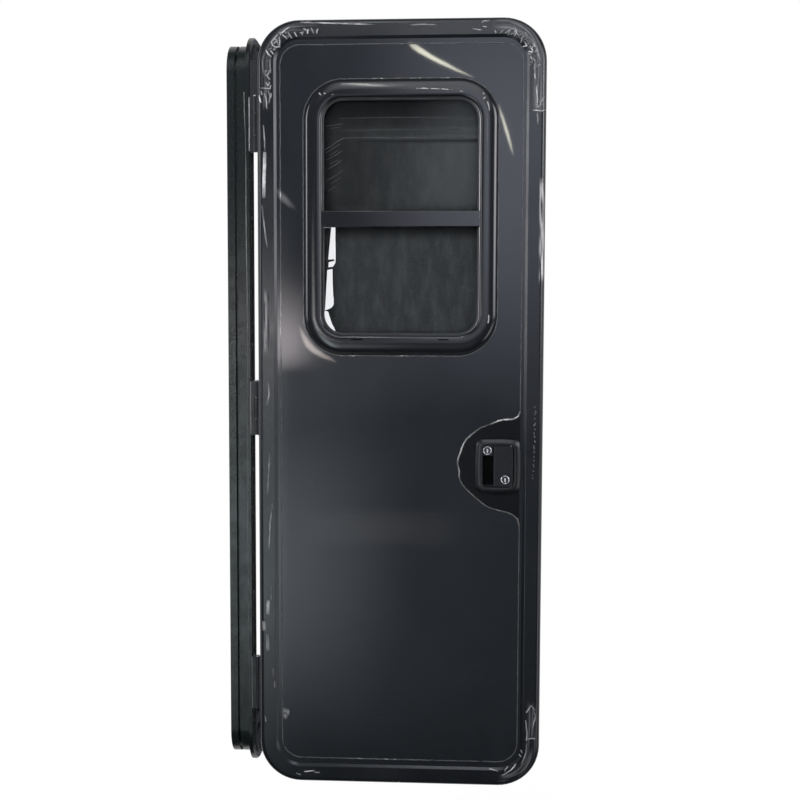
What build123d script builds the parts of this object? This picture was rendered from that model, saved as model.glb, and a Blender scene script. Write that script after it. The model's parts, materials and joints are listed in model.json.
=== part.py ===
from build123d import *
import os

# A caravan entry door: a flanged frame that clamps into the wall, and a hinged leaf
# with a window and a pull latch. Sizes are in millimetres, +Z is up.
# The frame stands in the XZ plane with the outside towards -Y and the hinges at -X.
# The origin is on the back of the sill's flange, midway along it.
# The leaf is modelled standing open at a right angle: its outer face looks towards -X.

# Hole in the wall and the frame that fills it
cutout_width = 622.0
cutout_height = 1750.0
cutout_corner = 76.0
cutout_gap = 3.0
flange_lap = 19.0
flange_band = 26.0
flange_thick = 12.0
flange_bevel = 3.0
jamb_depth = 48.0
jamb_wall = 3.0
lip_reach = 13.0
groove_back = 23.0
groove_width = 7.0
groove_depth = 10.0
splice_from_end = 300.0
splice_gap = 0.4
fixing_radius = 2.4
fixing_inset = 9.0
fixing_rows = 4
fixing_pitch = 300.0

# Weather seal on the flange
seal_inset = 14.0
seal_width = 9.0
seal_height = 3.0

# Leaf: a bent edge trim round a sandwich panel
leaf_overhang = 7.0
leaf_thick = 32.0
leaf_standoff = 20.0
trim_wall = 6.0
trim_face_width = 40.0
trim_face_proud = 4.0
trim_back_width = 30.0
trim_back_proud = 3.0
trim_nose_round = 12.0
trim_back_bevel = 2.0
trim_lip_drop = 3.0
trim_lip_slope = 5.0
trim_butt_gap = 0.8
skin_thick = 1.2
seat_gap = 0.3

# Hinges
hinge_out = 15.0
hinge_forward = 26.5
hinge_length = 128.0
hinge_from_end = 233.0
hinge_leaf_thick = 3.0
hinge_seat_width = 8.0
knuckle_radius = 5.0
knuckle_fixed_length = 38.0
knuckle_gap = 1.0
knuckle_relief = 1.5
pin_radius = 2.5
pin_fixed_clearance = 0.05
pin_running_clearance = 0.3
pin_head_radius = 4.2
pin_head_height = 2.5
strap_reach = 16.0

# Window
pane_opening_width = 366.0
pane_opening_height = 546.0
pane_opening_corner = 50.0
window_from_top = 179.0
window_face_width = 39.0
window_face_proud = 8.0
window_roll_slope = 13.0
window_roll_drop = 4.0
window_inner_bevel = 4.0
window_neck_wall = 4.0
window_neck_depth = 18.0
inner_frame_width = 32.0
inner_frame_proud = 5.0
inner_frame_bevel = 3.0
pane_thick = 4.0
upper_pane_back = 20.0
lower_pane_back = 14.0
pane_lap = 20.0
rail_height = 38.0
rail_below_middle = 4.0
rail_thick = 8.0
rail_round = 2.5
weep_width = 26.0
weep_height = 3.0
weep_pitch = 202.0
weep_drop = 10.0
screen_thick = 1.5
screen_margin = 2.0
screen_side_gap = 27.0

# Latch
latch_from_lock_edge = 104.0
latch_up = -131.0
bezel_width = 100.0
bezel_height = 123.0
bezel_bow = 3.0
bezel_corner = 16.0
bezel_proud = 9.0
bezel_rim_drop = 5.0
bezel_rim_slope = 9.0
recess_width = 73.0
recess_height = 98.0
recess_corner = 3.0
tub_wall = 2.5
tub_depth = 18.0
key_block_width = 24.0
key_block_height = 24.0
key_block_below = 3.0
paddle_width = 45.5
paddle_thick = 7.0
paddle_gap = 1.5
paddle_below = 0.5
paddle_round = 2.5
paddle_pin_radius = 1.5
paddle_pin_inset = 5.0
upper_key_in = 11.5
upper_key_down = 12.5
lower_key_in = 18.5
lower_key_rise = 16.0
collar_radius = 10.5
collar_proud = 1.5
barrel_radius = 8.5
barrel_length = 10.0
barrel_clearance = 0.1
plug_radius = 6.3
plug_clearance = 0.3
plug_proud = 0.8
keyway_width = 1.8
keyway_length = 8.0
keyway_depth = 3.0

# Inside latch
inner_case_width = 92.0
inner_case_height = 122.0
inner_case_depth = 40.0
inner_case_round = 6.0
inner_case_bevel = 3.0
lever_length = 62.0
lever_width = 16.0
lever_thick = 7.0
lever_bevel = 2.0
lever_boss_radius = 12.0
lever_boss_height = 6.0
bolt_height = 30.0
bolt_thick = 10.0
bolt_margin = 3.0
bolt_reach = 10.0
strike_width = 16.0
strike_height = 90.0
strike_thick = 2.0
strike_corner = 2.0
strike_slot_height = 44.0
strike_slot_width = 11.0

# Worked-out sizes
jamb_width = cutout_width - 2 * cutout_gap
jamb_height = cutout_height - 2 * cutout_gap
flange_width = jamb_width + 2 * flange_lap
flange_height = jamb_height + 2 * flange_lap
flange_corner = cutout_corner - cutout_gap + flange_lap
leaf_width = flange_width + 2 * leaf_overhang
leaf_height = flange_height + 2 * leaf_overhang
leaf_corner = flange_corner + leaf_overhang
mid_height = flange_height / 2 - flange_band / 2
panel_front = leaf_thick - trim_face_proud
panel_back = trim_back_proud
hinge_spread = leaf_height / 2 - hinge_from_end
window_up = leaf_height / 2 - window_from_top - pane_opening_height / 2
rail_up = window_up - rail_below_middle
latch_right = leaf_width / 2 - latch_from_lock_edge

# The hinge line, and the planes that the frame and the open leaf are drawn on.
# On both planes X runs from the hinge side to the lock side, and the normal points outside.
hinge_x = -flange_width / 2 - hinge_out
hinge_y = -hinge_forward
leaf_back_x = hinge_x - (leaf_standoff - hinge_forward)
leaf_edge_y = hinge_y - (hinge_out - leaf_overhang)
leaf_mid_y = leaf_edge_y - leaf_width / 2
wall_plane = Plane(origin=(0, 0, mid_height), x_dir=(1, 0, 0), z_dir=(0, -1, 0))
leaf_plane = Plane(origin=(leaf_back_x, leaf_mid_y, mid_height), x_dir=(0, -1, 0), z_dir=(-1, 0, 0))
hinge_heights = {
    "top": mid_height + hinge_spread,
    "middle": mid_height,
    "bottom": mid_height - hinge_spread,
}

os.makedirs("parts", exist_ok=True)


def save(piece, name):
    piece.part.label = name
    export_step(piece.part, f"parts/{name}.step")


def frame_outline(inset, mode=Mode.ADD):
    RectangleRounded(
        flange_width - 2 * inset,
        flange_height - 2 * inset,
        flange_corner - inset,
        mode=mode,
    )


def leaf_outline(inset, mode=Mode.ADD):
    RectangleRounded(
        leaf_width - 2 * inset,
        leaf_height - 2 * inset,
        leaf_corner - inset,
        mode=mode,
    )


def window_outline(grow, mode=Mode.ADD):
    with Locations((0, window_up)):
        RectangleRounded(
            pane_opening_width + 2 * grow,
            pane_opening_height + 2 * grow,
            pane_opening_corner + grow,
            mode=mode,
        )


def latch_outline(grow, mode=Mode.ADD):
    with Locations((latch_right, latch_up)):
        RectangleRounded(
            recess_width + 2 * grow,
            recess_height + 2 * grow,
            recess_corner + grow,
            mode=mode,
        )


# Frame extrusion: a boxed flange outside the wall, a web with a deep groove through it and a lip inside
with BuildPart() as frame_ring:
    with BuildSketch(wall_plane):
        frame_outline(0)
        frame_outline(flange_band, mode=Mode.SUBTRACT)
    extrude(amount=flange_thick)
    front = frame_ring.faces().sort_by(Axis.Y)[0]
    chamfer(front.outer_wire().edges(), length=flange_bevel)
    with BuildSketch(wall_plane):
        frame_outline(flange_lap)
        frame_outline(flange_lap + jamb_wall, mode=Mode.SUBTRACT)
    extrude(amount=-jamb_depth)
    with BuildSketch(wall_plane.offset(-jamb_depth)):
        frame_outline(flange_lap)
        frame_outline(flange_lap + lip_reach, mode=Mode.SUBTRACT)
    extrude(amount=jamb_wall)
    with BuildSketch(wall_plane.offset(jamb_wall - groove_back)):
        frame_outline(flange_lap)
        frame_outline(flange_lap + groove_depth + jamb_wall, mode=Mode.SUBTRACT)
    extrude(amount=-groove_width - 2 * jamb_wall)
    with BuildSketch(wall_plane.offset(-groove_back)):
        frame_outline(flange_lap)
        frame_outline(flange_lap + groove_depth, mode=Mode.SUBTRACT)
    extrude(amount=-groove_width, mode=Mode.SUBTRACT)
    with BuildSketch(wall_plane):
        with GridLocations(flange_width - 2 * fixing_inset, fixing_pitch, 2, fixing_rows):
            Circle(fixing_radius)
    extrude(amount=flange_thick, mode=Mode.SUBTRACT)

# The ring is bent in two: the head and the sill keep their corners, and straight jambs join them
splice_top = mid_height + flange_height / 2 - splice_from_end
splice_bottom = mid_height - flange_height / 2 + splice_from_end

with BuildPart() as frame_head:
    add(frame_ring.part)
    split(bisect_by=Plane.XY.offset(splice_top + splice_gap / 2), keep=Keep.TOP)
save(frame_head, "frame_head")

with BuildPart() as frame_sill:
    add(frame_ring.part)
    split(bisect_by=Plane.XY.offset(splice_bottom - splice_gap / 2), keep=Keep.BOTTOM)
save(frame_sill, "frame_sill")

with BuildPart() as frame_hinge_jamb:
    add(frame_ring.part)
    split(bisect_by=Plane.XY.offset(splice_top - splice_gap / 2), keep=Keep.BOTTOM)
    split(bisect_by=Plane.XY.offset(splice_bottom + splice_gap / 2), keep=Keep.TOP)
    split(bisect_by=Plane.YZ, keep=Keep.BOTTOM)
save(frame_hinge_jamb, "frame_hinge_jamb")

with BuildPart() as frame_lock_jamb:
    add(frame_ring.part)
    split(bisect_by=Plane.XY.offset(splice_top - splice_gap / 2), keep=Keep.BOTTOM)
    split(bisect_by=Plane.XY.offset(splice_bottom + splice_gap / 2), keep=Keep.TOP)
    split(bisect_by=Plane.YZ, keep=Keep.TOP)
save(frame_lock_jamb, "frame_lock_jamb")

with BuildPart() as frame_seal:
    with BuildSketch(wall_plane.offset(flange_thick)):
        frame_outline(seal_inset)
        frame_outline(seal_inset + seal_width, mode=Mode.SUBTRACT)
    extrude(amount=seal_height)
save(frame_seal, "frame_seal")

# Strike plate on the inside of the lock jamb's web
strike_x = jamb_width / 2 - jamb_wall
bolt_level = panel_back - inner_case_depth + bolt_margin + bolt_thick / 2
strike_y = -leaf_standoff - bolt_level
with BuildPart() as strike_plate:
    with BuildSketch(Plane.YZ.offset(strike_x)):
        with Locations((strike_y, mid_height + latch_up)):
            RectangleRounded(strike_width, strike_height, strike_corner)
            Rectangle(strike_slot_width, strike_slot_height, mode=Mode.SUBTRACT)
    extrude(amount=-strike_thick)
save(strike_plate, "strike_plate")

# Hinges: a cranked plate on the flange, a strap on the leaf's edge and a headed pin
plate_seat_y = -flange_thick
moving_length = hinge_length - 2 * (knuckle_fixed_length + knuckle_gap)
strap_x = leaf_back_x - trim_back_proud
for place, height in hinge_heights.items():
    base = Plane.XY.offset(height - hinge_length / 2)
    with BuildPart() as hinge_plate:
        with BuildSketch(base):
            with BuildLine():
                Polyline(
                    (hinge_x + hinge_leaf_thick / 2, hinge_y),
                    (hinge_x + hinge_leaf_thick / 2, plate_seat_y - hinge_leaf_thick),
                    (-flange_width / 2 + hinge_seat_width, plate_seat_y - hinge_leaf_thick),
                    (-flange_width / 2 + hinge_seat_width, plate_seat_y),
                    (hinge_x - hinge_leaf_thick / 2, plate_seat_y),
                    (hinge_x - hinge_leaf_thick / 2, hinge_y),
                    close=True,
                )
            make_face()
            with Locations((hinge_x, hinge_y)):
                Circle(knuckle_radius)
        extrude(amount=hinge_length)
        with BuildSketch(base.offset(knuckle_fixed_length)):
            with Locations((hinge_x, hinge_y)):
                Circle(knuckle_radius + knuckle_relief)
        extrude(amount=moving_length + 2 * knuckle_gap, mode=Mode.SUBTRACT)
        with BuildSketch(base):
            with Locations((hinge_x, hinge_y)):
                Circle(pin_radius + pin_fixed_clearance)
        extrude(amount=hinge_length, mode=Mode.SUBTRACT)
    save(hinge_plate, f"hinge_plate_{place}")

    with BuildPart() as hinge_strap:
        with BuildSketch(base):
            with Locations((strap_x, leaf_edge_y)):
                Rectangle(strap_reach, hinge_leaf_thick, align=(Align.MAX, Align.MIN))
        extrude(amount=hinge_length)
        with BuildSketch(base.offset(knuckle_fixed_length + knuckle_gap)):
            with Locations((hinge_x, hinge_y)):
                Circle(knuckle_radius)
            with Locations((hinge_x, leaf_edge_y + hinge_leaf_thick / 2)):
                Rectangle(
                    2 * hinge_leaf_thick,
                    hinge_out - leaf_overhang - hinge_leaf_thick / 2,
                    align=(Align.CENTER, Align.MIN),
                )
            with Locations((hinge_x, hinge_y)):
                Circle(pin_radius + pin_running_clearance, mode=Mode.SUBTRACT)
        extrude(amount=moving_length)
    save(hinge_strap, f"hinge_strap_{place}")

    with BuildPart() as hinge_pin:
        with BuildSketch(base):
            with Locations((hinge_x, hinge_y)):
                Circle(pin_radius)
        extrude(amount=hinge_length)
        with BuildSketch(base.offset(hinge_length)):
            with Locations((hinge_x, hinge_y)):
                Circle(pin_head_radius)
        extrude(amount=pin_head_height)
    save(hinge_pin, f"hinge_pin_{place}")

# Leaf edge: a bullnosed channel bent round the panel, with its ends butted under the leaf
with BuildPart() as edge_trim:
    with BuildSketch(leaf_plane):
        leaf_outline(0)
    extrude(amount=leaf_thick)
    fillet(edge_trim.faces().sort_by(Axis.X)[0].edges(), radius=trim_nose_round)
    chamfer(edge_trim.faces().sort_by(Axis.X)[-1].edges(), length=trim_back_bevel)
    with BuildSketch(leaf_plane.offset(panel_back)):
        leaf_outline(trim_wall)
    extrude(amount=panel_front - panel_back, mode=Mode.SUBTRACT)
    with BuildSketch(leaf_plane.offset(panel_front)):
        leaf_outline(trim_face_width)
    extrude(amount=trim_face_proud, mode=Mode.SUBTRACT)
    with BuildSketch(leaf_plane):
        leaf_outline(trim_back_width)
    extrude(amount=panel_back, mode=Mode.SUBTRACT)
    face = edge_trim.faces().sort_by(Axis.X)[0]
    lip = face.inner_wires()[0].edges()
    chamfer(lip, length=trim_lip_slope, length2=trim_lip_drop, reference=face)
    with BuildSketch(leaf_plane):
        Rectangle(trim_butt_gap, leaf_height / 2, align=(Align.CENTER, Align.MAX))
    extrude(amount=leaf_thick, mode=Mode.SUBTRACT)
save(edge_trim, "edge_trim")

# Panel: two thin skins on a foam core, cut for the window's neck and the latch's tub
panel_layers = {
    "inner_skin": (panel_back, skin_thick),
    "panel_core": (panel_back + skin_thick, panel_front - panel_back - 2 * skin_thick),
    "outer_skin": (panel_front - skin_thick, skin_thick),
}
for name, (level, thick) in panel_layers.items():
    with BuildPart() as layer:
        with BuildSketch(leaf_plane.offset(level)):
            leaf_outline(trim_wall + seat_gap)
            window_outline(window_neck_wall + seat_gap, mode=Mode.SUBTRACT)
            latch_outline(tub_wall + seat_gap, mode=Mode.SUBTRACT)
        extrude(amount=thick)
    save(layer, name)

# Window: a rolled outer frame whose neck goes through the panel, and a clamping frame inside
with BuildPart() as window_outer_frame:
    with BuildSketch(leaf_plane.offset(panel_front)):
        window_outline(window_face_width)
    extrude(amount=window_face_proud)
    face = window_outer_frame.faces().sort_by(Axis.X)[0]
    chamfer(face.edges(), length=window_roll_slope, length2=window_roll_drop, reference=face)
    with BuildSketch(leaf_plane.offset(panel_front)):
        window_outline(window_neck_wall)
    extrude(amount=-window_neck_depth)
    with BuildSketch(leaf_plane.offset(panel_front + window_face_proud)):
        window_outline(0)
    extrude(amount=-window_face_proud - window_neck_depth, mode=Mode.SUBTRACT)
    face = window_outer_frame.faces().sort_by(Axis.X)[0]
    chamfer(face.inner_wires()[0].edges(), length=window_inner_bevel)
    with BuildSketch(leaf_plane.offset(panel_front + window_face_proud)):
        with Locations((0, window_up - pane_opening_height / 2 - weep_drop)):
            with GridLocations(weep_pitch, weep_pitch, 2, 1):
                SlotOverall(weep_width, weep_height)
    extrude(amount=-window_face_proud / 2, mode=Mode.SUBTRACT)
save(window_outer_frame, "window_outer_frame")

with BuildPart() as window_inner_frame:
    with BuildSketch(leaf_plane.offset(panel_back)):
        window_outline(inner_frame_width)
        window_outline(0, mode=Mode.SUBTRACT)
    extrude(amount=-inner_frame_proud)
    chamfer(window_inner_frame.faces().sort_by(Axis.X)[-1].edges(), length=inner_frame_bevel)
save(window_inner_frame, "window_inner_frame")

pane_top = window_up + pane_opening_height / 2
pane_bottom = window_up - pane_opening_height / 2
with BuildPart() as upper_pane:
    with BuildSketch(leaf_plane.offset(upper_pane_back)):
        window_outline(-seat_gap)
        with Locations((0, rail_up - rail_height / 2)):
            Rectangle(
                pane_opening_width,
                rail_up - rail_height / 2 - pane_bottom,
                align=(Align.CENTER, Align.MAX),
                mode=Mode.SUBTRACT,
            )
    extrude(amount=pane_thick)
save(upper_pane, "upper_pane")

with BuildPart() as lower_pane:
    with BuildSketch(leaf_plane.offset(lower_pane_back)):
        window_outline(-seat_gap)
        with Locations((0, rail_up - rail_height / 2 + pane_lap)):
            Rectangle(
                pane_opening_width,
                pane_top - rail_up + rail_height / 2 - pane_lap,
                align=(Align.CENTER, Align.MIN),
                mode=Mode.SUBTRACT,
            )
    extrude(amount=pane_thick)
save(lower_pane, "lower_pane")

with BuildPart() as meeting_rail:
    with BuildSketch(leaf_plane.offset(upper_pane_back + pane_thick)):
        with Locations((0, rail_up)):
            Rectangle(pane_opening_width - 2 * seat_gap, rail_height)
    extrude(amount=rail_thick)
    front = meeting_rail.faces().sort_by(Axis.X)[0]
    fillet(front.edges().filter_by(Axis.Y), radius=rail_round)
save(meeting_rail, "meeting_rail")

# Insect screen behind the panes: its lower part stops short of the hinge side
screen_level = panel_front - window_neck_depth - screen_thick - seat_gap
with BuildPart() as insect_screen:
    with BuildSketch(leaf_plane.offset(screen_level)):
        window_outline(screen_margin)
        with Locations((-pane_opening_width / 2 + screen_side_gap, rail_up)):
            Rectangle(
                screen_side_gap + 2 * screen_margin,
                pane_opening_height,
                align=(Align.MAX, Align.MAX),
                mode=Mode.SUBTRACT,
            )
    extrude(amount=screen_thick)
save(insect_screen, "insect_screen")

# Latch: a bowed bezel with a sunk tub, and a corner block that holds the upper lock
bezel_face = panel_front + bezel_proud
block_face = bezel_face - key_block_below
recess_left = latch_right - recess_width / 2
recess_right = latch_right + recess_width / 2
recess_top = latch_up + recess_height / 2
upper_key_right = recess_left + upper_key_in
upper_key_up = recess_top - upper_key_down
with BuildPart() as latch_bezel:
    with BuildSketch(leaf_plane.offset(panel_front)) as bezel_sketch:
        left = latch_right - bezel_width / 2
        right = latch_right + bezel_width / 2
        low = latch_up - bezel_height / 2
        high = latch_up + bezel_height / 2
        with BuildLine():
            ThreePointArc((left, low), (latch_right, low - bezel_bow), (right, low))
            ThreePointArc((right, low), (right + bezel_bow, latch_up), (right, high))
            ThreePointArc((right, high), (latch_right, high + bezel_bow), (left, high))
            ThreePointArc((left, high), (left - bezel_bow, latch_up), (left, low))
        make_face()
        fillet(bezel_sketch.vertices(), radius=bezel_corner)
    extrude(amount=bezel_proud)
    face = latch_bezel.faces().sort_by(Axis.X)[0]
    chamfer(face.edges(), length=bezel_rim_slope, length2=bezel_rim_drop, reference=face)
    with BuildSketch(leaf_plane.offset(panel_front)):
        latch_outline(tub_wall)
    extrude(amount=-tub_depth)
    with BuildSketch(leaf_plane.offset(bezel_face)):
        latch_outline(0)
    extrude(amount=-bezel_proud - tub_depth + tub_wall, mode=Mode.SUBTRACT)
    with BuildSketch(leaf_plane.offset(panel_front - tub_depth + tub_wall)):
        with Locations((recess_left, recess_top)):
            Rectangle(key_block_width, key_block_height, align=(Align.MIN, Align.MAX))
    extrude(amount=block_face - panel_front + tub_depth - tub_wall)
    with BuildSketch(leaf_plane.offset(block_face)):
        with Locations((upper_key_right, upper_key_up)):
            Circle(barrel_radius + barrel_clearance)
    extrude(amount=-barrel_length, mode=Mode.SUBTRACT)
save(latch_bezel, "latch_bezel")

# Paddle: it turns on an upright pin at its lock side and is pulled by its hinge side
paddle_height = recess_height - 2 * paddle_gap
paddle_right = recess_right - paddle_gap
paddle_back = bezel_face - paddle_below - paddle_thick
paddle_pin_right = paddle_right - paddle_pin_inset
lower_key_right = paddle_right - lower_key_in
lower_key_up = latch_up - paddle_height / 2 + lower_key_rise
paddle_pin_level = paddle_back + paddle_thick / 2
pin_foot = leaf_plane.from_local_coords((paddle_pin_right, latch_up - recess_height / 2, paddle_pin_level))
pin_plane = Plane(origin=pin_foot, z_dir=(0, 0, 1))
with BuildPart() as latch_paddle:
    with BuildSketch(leaf_plane.offset(paddle_back)):
        with Locations((paddle_right, latch_up)):
            Rectangle(paddle_width, paddle_height, align=(Align.MAX, Align.CENTER))
    extrude(amount=paddle_thick)
    fillet(latch_paddle.edges().filter_by(Axis.Z), radius=paddle_round)
    with BuildSketch(leaf_plane.offset(paddle_back)):
        with Locations((lower_key_right, lower_key_up)):
            Circle(barrel_radius + barrel_clearance)
    extrude(amount=paddle_thick, mode=Mode.SUBTRACT)
    with BuildSketch(pin_plane):
        Circle(paddle_pin_radius + pin_running_clearance)
    extrude(amount=recess_height, mode=Mode.SUBTRACT)
save(latch_paddle, "latch_paddle")

with BuildPart() as paddle_pin:
    with BuildSketch(pin_plane.offset(seat_gap)):
        Circle(paddle_pin_radius)
    extrude(amount=recess_height - 2 * seat_gap)
save(paddle_pin, "paddle_pin")

# Two key locks: a chromed collar and the plug that turns in it
locks = {
    "upper": (upper_key_right, upper_key_up, block_face),
    "lower": (lower_key_right, lower_key_up, paddle_back + paddle_thick),
}
for place, (across, up, seat) in locks.items():
    with BuildPart() as lock_collar:
        with BuildSketch(leaf_plane.offset(seat)):
            with Locations((across, up)):
                Circle(collar_radius)
        extrude(amount=collar_proud)
        with BuildSketch(leaf_plane.offset(seat)):
            with Locations((across, up)):
                Circle(barrel_radius)
        extrude(amount=-barrel_length)
        with BuildSketch(leaf_plane.offset(seat + collar_proud)):
            with Locations((across, up)):
                Circle(plug_radius + plug_clearance)
        extrude(amount=-collar_proud - barrel_length + tub_wall, mode=Mode.SUBTRACT)
    save(lock_collar, f"{place}_lock_collar")

    with BuildPart() as key_plug:
        with BuildSketch(leaf_plane.offset(seat - barrel_length + tub_wall + plug_clearance)):
            with Locations((across, up)):
                Circle(plug_radius)
        extrude(amount=barrel_length - tub_wall - plug_clearance + collar_proud + plug_proud)
        with BuildSketch(leaf_plane.offset(seat + collar_proud + plug_proud)):
            with Locations((across, up)):
                SlotOverall(keyway_length, keyway_width, rotation=90)
        extrude(amount=-keyway_depth, mode=Mode.SUBTRACT)
    save(key_plug, f"{place}_key_plug")

# Inside latch: a case over the panel's hole, its bolt and a release lever
case_back = panel_back - inner_case_depth
with BuildPart() as inner_latch_case:
    with BuildSketch(leaf_plane.offset(panel_back)):
        with Locations((latch_right, latch_up)):
            RectangleRounded(inner_case_width, inner_case_height, inner_case_round)
    extrude(amount=-inner_case_depth)
    chamfer(inner_latch_case.faces().sort_by(Axis.X)[-1].edges(), length=inner_case_bevel)
save(inner_latch_case, "inner_latch_case")

with BuildPart() as latch_bolt:
    with BuildSketch(leaf_plane.offset(bolt_level - bolt_thick / 2)):
        with Locations((latch_right + inner_case_width / 2, latch_up)):
            Rectangle(bolt_reach, bolt_height, align=(Align.MIN, Align.CENTER))
    extrude(amount=bolt_thick)
    nose = latch_bolt.edges().filter_by(Axis.Z).group_by(Axis.Y)[0].sort_by(Axis.X)[0]
    chamfer(nose, length=bolt_thick / 2)
save(latch_bolt, "latch_bolt")

with BuildPart() as inner_release_lever:
    with BuildSketch(leaf_plane.offset(case_back)):
        with Locations((latch_right, latch_up)):
            Circle(lever_boss_radius)
    extrude(amount=-lever_boss_height)
    with BuildSketch(leaf_plane.offset(case_back - lever_boss_height)):
        with Locations((latch_right + lever_boss_radius, latch_up)):
            Rectangle(lever_length, lever_width, align=(Align.MAX, Align.CENTER))
    extrude(amount=-lever_thick)
    chamfer(inner_release_lever.faces().sort_by(Axis.X)[-1].edges(), length=lever_bevel)
save(inner_release_lever, "inner_release_lever")
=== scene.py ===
# %% [markdown]
# # Dressing a caravan entry door
# The door is already modelled as solids: a flanged frame, a leaf that stands open on three hinges, a
# window and a sunk latch. This lesson loads those solids, gives each its finish, and adds what solids
# leave out: protective film, gaskets, screws, the woven screen and worn edges. Lengths are in metres,
# and the leaf's outer face looks along -X.

# %% Load the frame
import bmesh
import bpy
import json
import math
import random
from mathutils import Matrix, Vector, noise


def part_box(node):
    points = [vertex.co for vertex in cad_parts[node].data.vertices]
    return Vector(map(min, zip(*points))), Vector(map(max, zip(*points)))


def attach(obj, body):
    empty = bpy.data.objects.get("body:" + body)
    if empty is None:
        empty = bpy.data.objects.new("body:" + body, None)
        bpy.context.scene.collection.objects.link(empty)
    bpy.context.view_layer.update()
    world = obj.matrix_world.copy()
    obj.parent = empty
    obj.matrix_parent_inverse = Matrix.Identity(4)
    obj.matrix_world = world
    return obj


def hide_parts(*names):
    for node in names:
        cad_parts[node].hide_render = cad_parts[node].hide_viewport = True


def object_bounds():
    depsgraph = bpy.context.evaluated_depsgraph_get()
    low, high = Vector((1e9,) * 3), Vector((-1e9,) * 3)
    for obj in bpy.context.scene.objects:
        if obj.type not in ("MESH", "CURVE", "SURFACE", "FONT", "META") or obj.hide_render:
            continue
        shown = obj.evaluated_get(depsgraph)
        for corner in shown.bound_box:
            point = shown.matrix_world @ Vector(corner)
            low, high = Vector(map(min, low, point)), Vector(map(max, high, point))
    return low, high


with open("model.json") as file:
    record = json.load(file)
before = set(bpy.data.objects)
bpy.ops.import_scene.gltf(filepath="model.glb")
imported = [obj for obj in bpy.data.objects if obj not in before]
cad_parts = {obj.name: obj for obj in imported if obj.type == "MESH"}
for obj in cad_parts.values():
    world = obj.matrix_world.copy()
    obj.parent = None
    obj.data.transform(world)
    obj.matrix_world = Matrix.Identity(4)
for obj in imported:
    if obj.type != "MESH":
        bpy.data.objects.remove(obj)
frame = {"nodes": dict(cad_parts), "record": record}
cad_low, cad_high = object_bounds()
print("CAD box", [round(v, 4) for v in cad_low], [round(v, 4) for v in cad_high])

# %% [markdown]
# ## A ruler on the leaf
# Most added pieces lie on the leaf, so it helps to think in its own terms: across towards the lock side,
# up from its middle, and out from its back. The leaf's box gives the origin, so nothing here is typed
# twice.

# %% Leaf ruler
trim_low, trim_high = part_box("edge_trim")
leaf_back = trim_high.x
leaf_middle = (trim_low.y + trim_high.y) / 2
leaf_level = (trim_low.z + trim_high.z) / 2
leaf_half_width = (trim_high.y - trim_low.y) / 2
leaf_half_height = (trim_high.z - trim_low.z) / 2
panel_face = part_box("outer_skin")[0].x
panel_out = leaf_back - panel_face


def on_leaf(across, up, out):
    return Vector((leaf_back - out, leaf_middle - across, leaf_level + up))


print("leaf", round(2 * leaf_half_width, 3), "by", round(2 * leaf_half_height, 3))

# %% [markdown]
# ## Small helpers for meshes
# Points and faces become an object at the origin, and rows of points are joined by a grid of faces,
# which goes round where the rows are rings. Two helpers turn faces the right way: those of a closed
# shell outwards, and those of an open sheet on the leaf forwards, along -X. One makes a plain block, and
# one settles an object's modifiers into a plain mesh. The last two give a piece its finish, the body
# that it rides on and the slot that it belongs to.

# %% Mesh helpers
def linked(name, data):
    made = bpy.data.objects.new(name, data)
    bpy.context.scene.collection.objects.link(made)
    return made


def mesh_object(name, points, faces, smooth=True):
    mesh = bpy.data.meshes.new(name)
    mesh.from_pydata([tuple(point) for point in points], [], faces)
    mesh.validate()
    for face in mesh.polygons:
        face.use_smooth = smooth
    return linked(name, mesh)


def grid_faces(rows, across, ring=False, loop=False):
    faces = []
    for row in range(rows if loop else rows - 1):
        here, there = row * across, (row + 1) % rows * across
        for step in range(across if ring else across - 1):
            beyond = (step + 1) % across
            faces.append((here + step, here + beyond, there + beyond, there + step))
    return faces


def face_outwards(piece):
    shape = bmesh.new()
    shape.from_mesh(piece.data)
    bmesh.ops.recalc_face_normals(shape, faces=shape.faces)
    shape.to_mesh(piece.data)
    shape.free()
    return piece


def face_forwards(piece):
    if sum(face.normal.x * face.area for face in piece.data.polygons) > 0:
        piece.data.flip_normals()
    return piece


def block(name, low, high):
    points = [(x, y, z) for x in (low[0], high[0]) for y in (low[1], high[1]) for z in (low[2], high[2])]
    sides = [(0, 1, 3, 2), (4, 5, 7, 6), (0, 1, 5, 4), (2, 3, 7, 6), (0, 2, 6, 4), (1, 3, 7, 5)]
    return face_outwards(mesh_object(name, points, sides, smooth=False))


def settle(piece):
    shown = piece.evaluated_get(bpy.context.evaluated_depsgraph_get())
    piece.data = bpy.data.meshes.new_from_object(shown)
    piece.modifiers.clear()
    return piece


def seat(piece, body):
    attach(piece, body)
    print(piece.name, len(piece.data.polygons), "faces")


def dress(piece, finish, body):
    piece.data.materials.append(finish)
    seat(piece, body)


# %% [markdown]
# ## Small helpers for nodes
# Node trees get long when every node takes four lines. One helper adds a node, sets its options and
# fills its inputs: a socket makes a link, and anything else becomes the input's value. Most nodes are
# wanted for their first output alone, which the next helper returns. The others are the nodes that come
# back most often: a sum, a changed range, a noise, the place on the object, and a material's or a
# world's empty tree.

# %% Node helpers
def fill(tree, made, inputs):
    for label, amount in inputs.items():
        if isinstance(amount, bpy.types.NodeSocket):
            tree.links.new(amount, made.inputs[label])
        else:
            made.inputs[label].default_value = amount


def node(tree, kind, inputs=None, **options):
    made = tree.nodes.new(kind)
    for name, choice in options.items():
        setattr(made, name, choice)
    fill(tree, made, inputs or {})
    return made


def flow(tree, kind, inputs=None, **options):
    return node(tree, kind, inputs, **options).outputs[0]


def value(tree, operation, first, second=0.0, third=0.0, clamp=False):
    inputs = {0: first, 1: second, 2: third}
    return flow(tree, "ShaderNodeMath", inputs, operation=operation, use_clamp=clamp)


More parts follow.
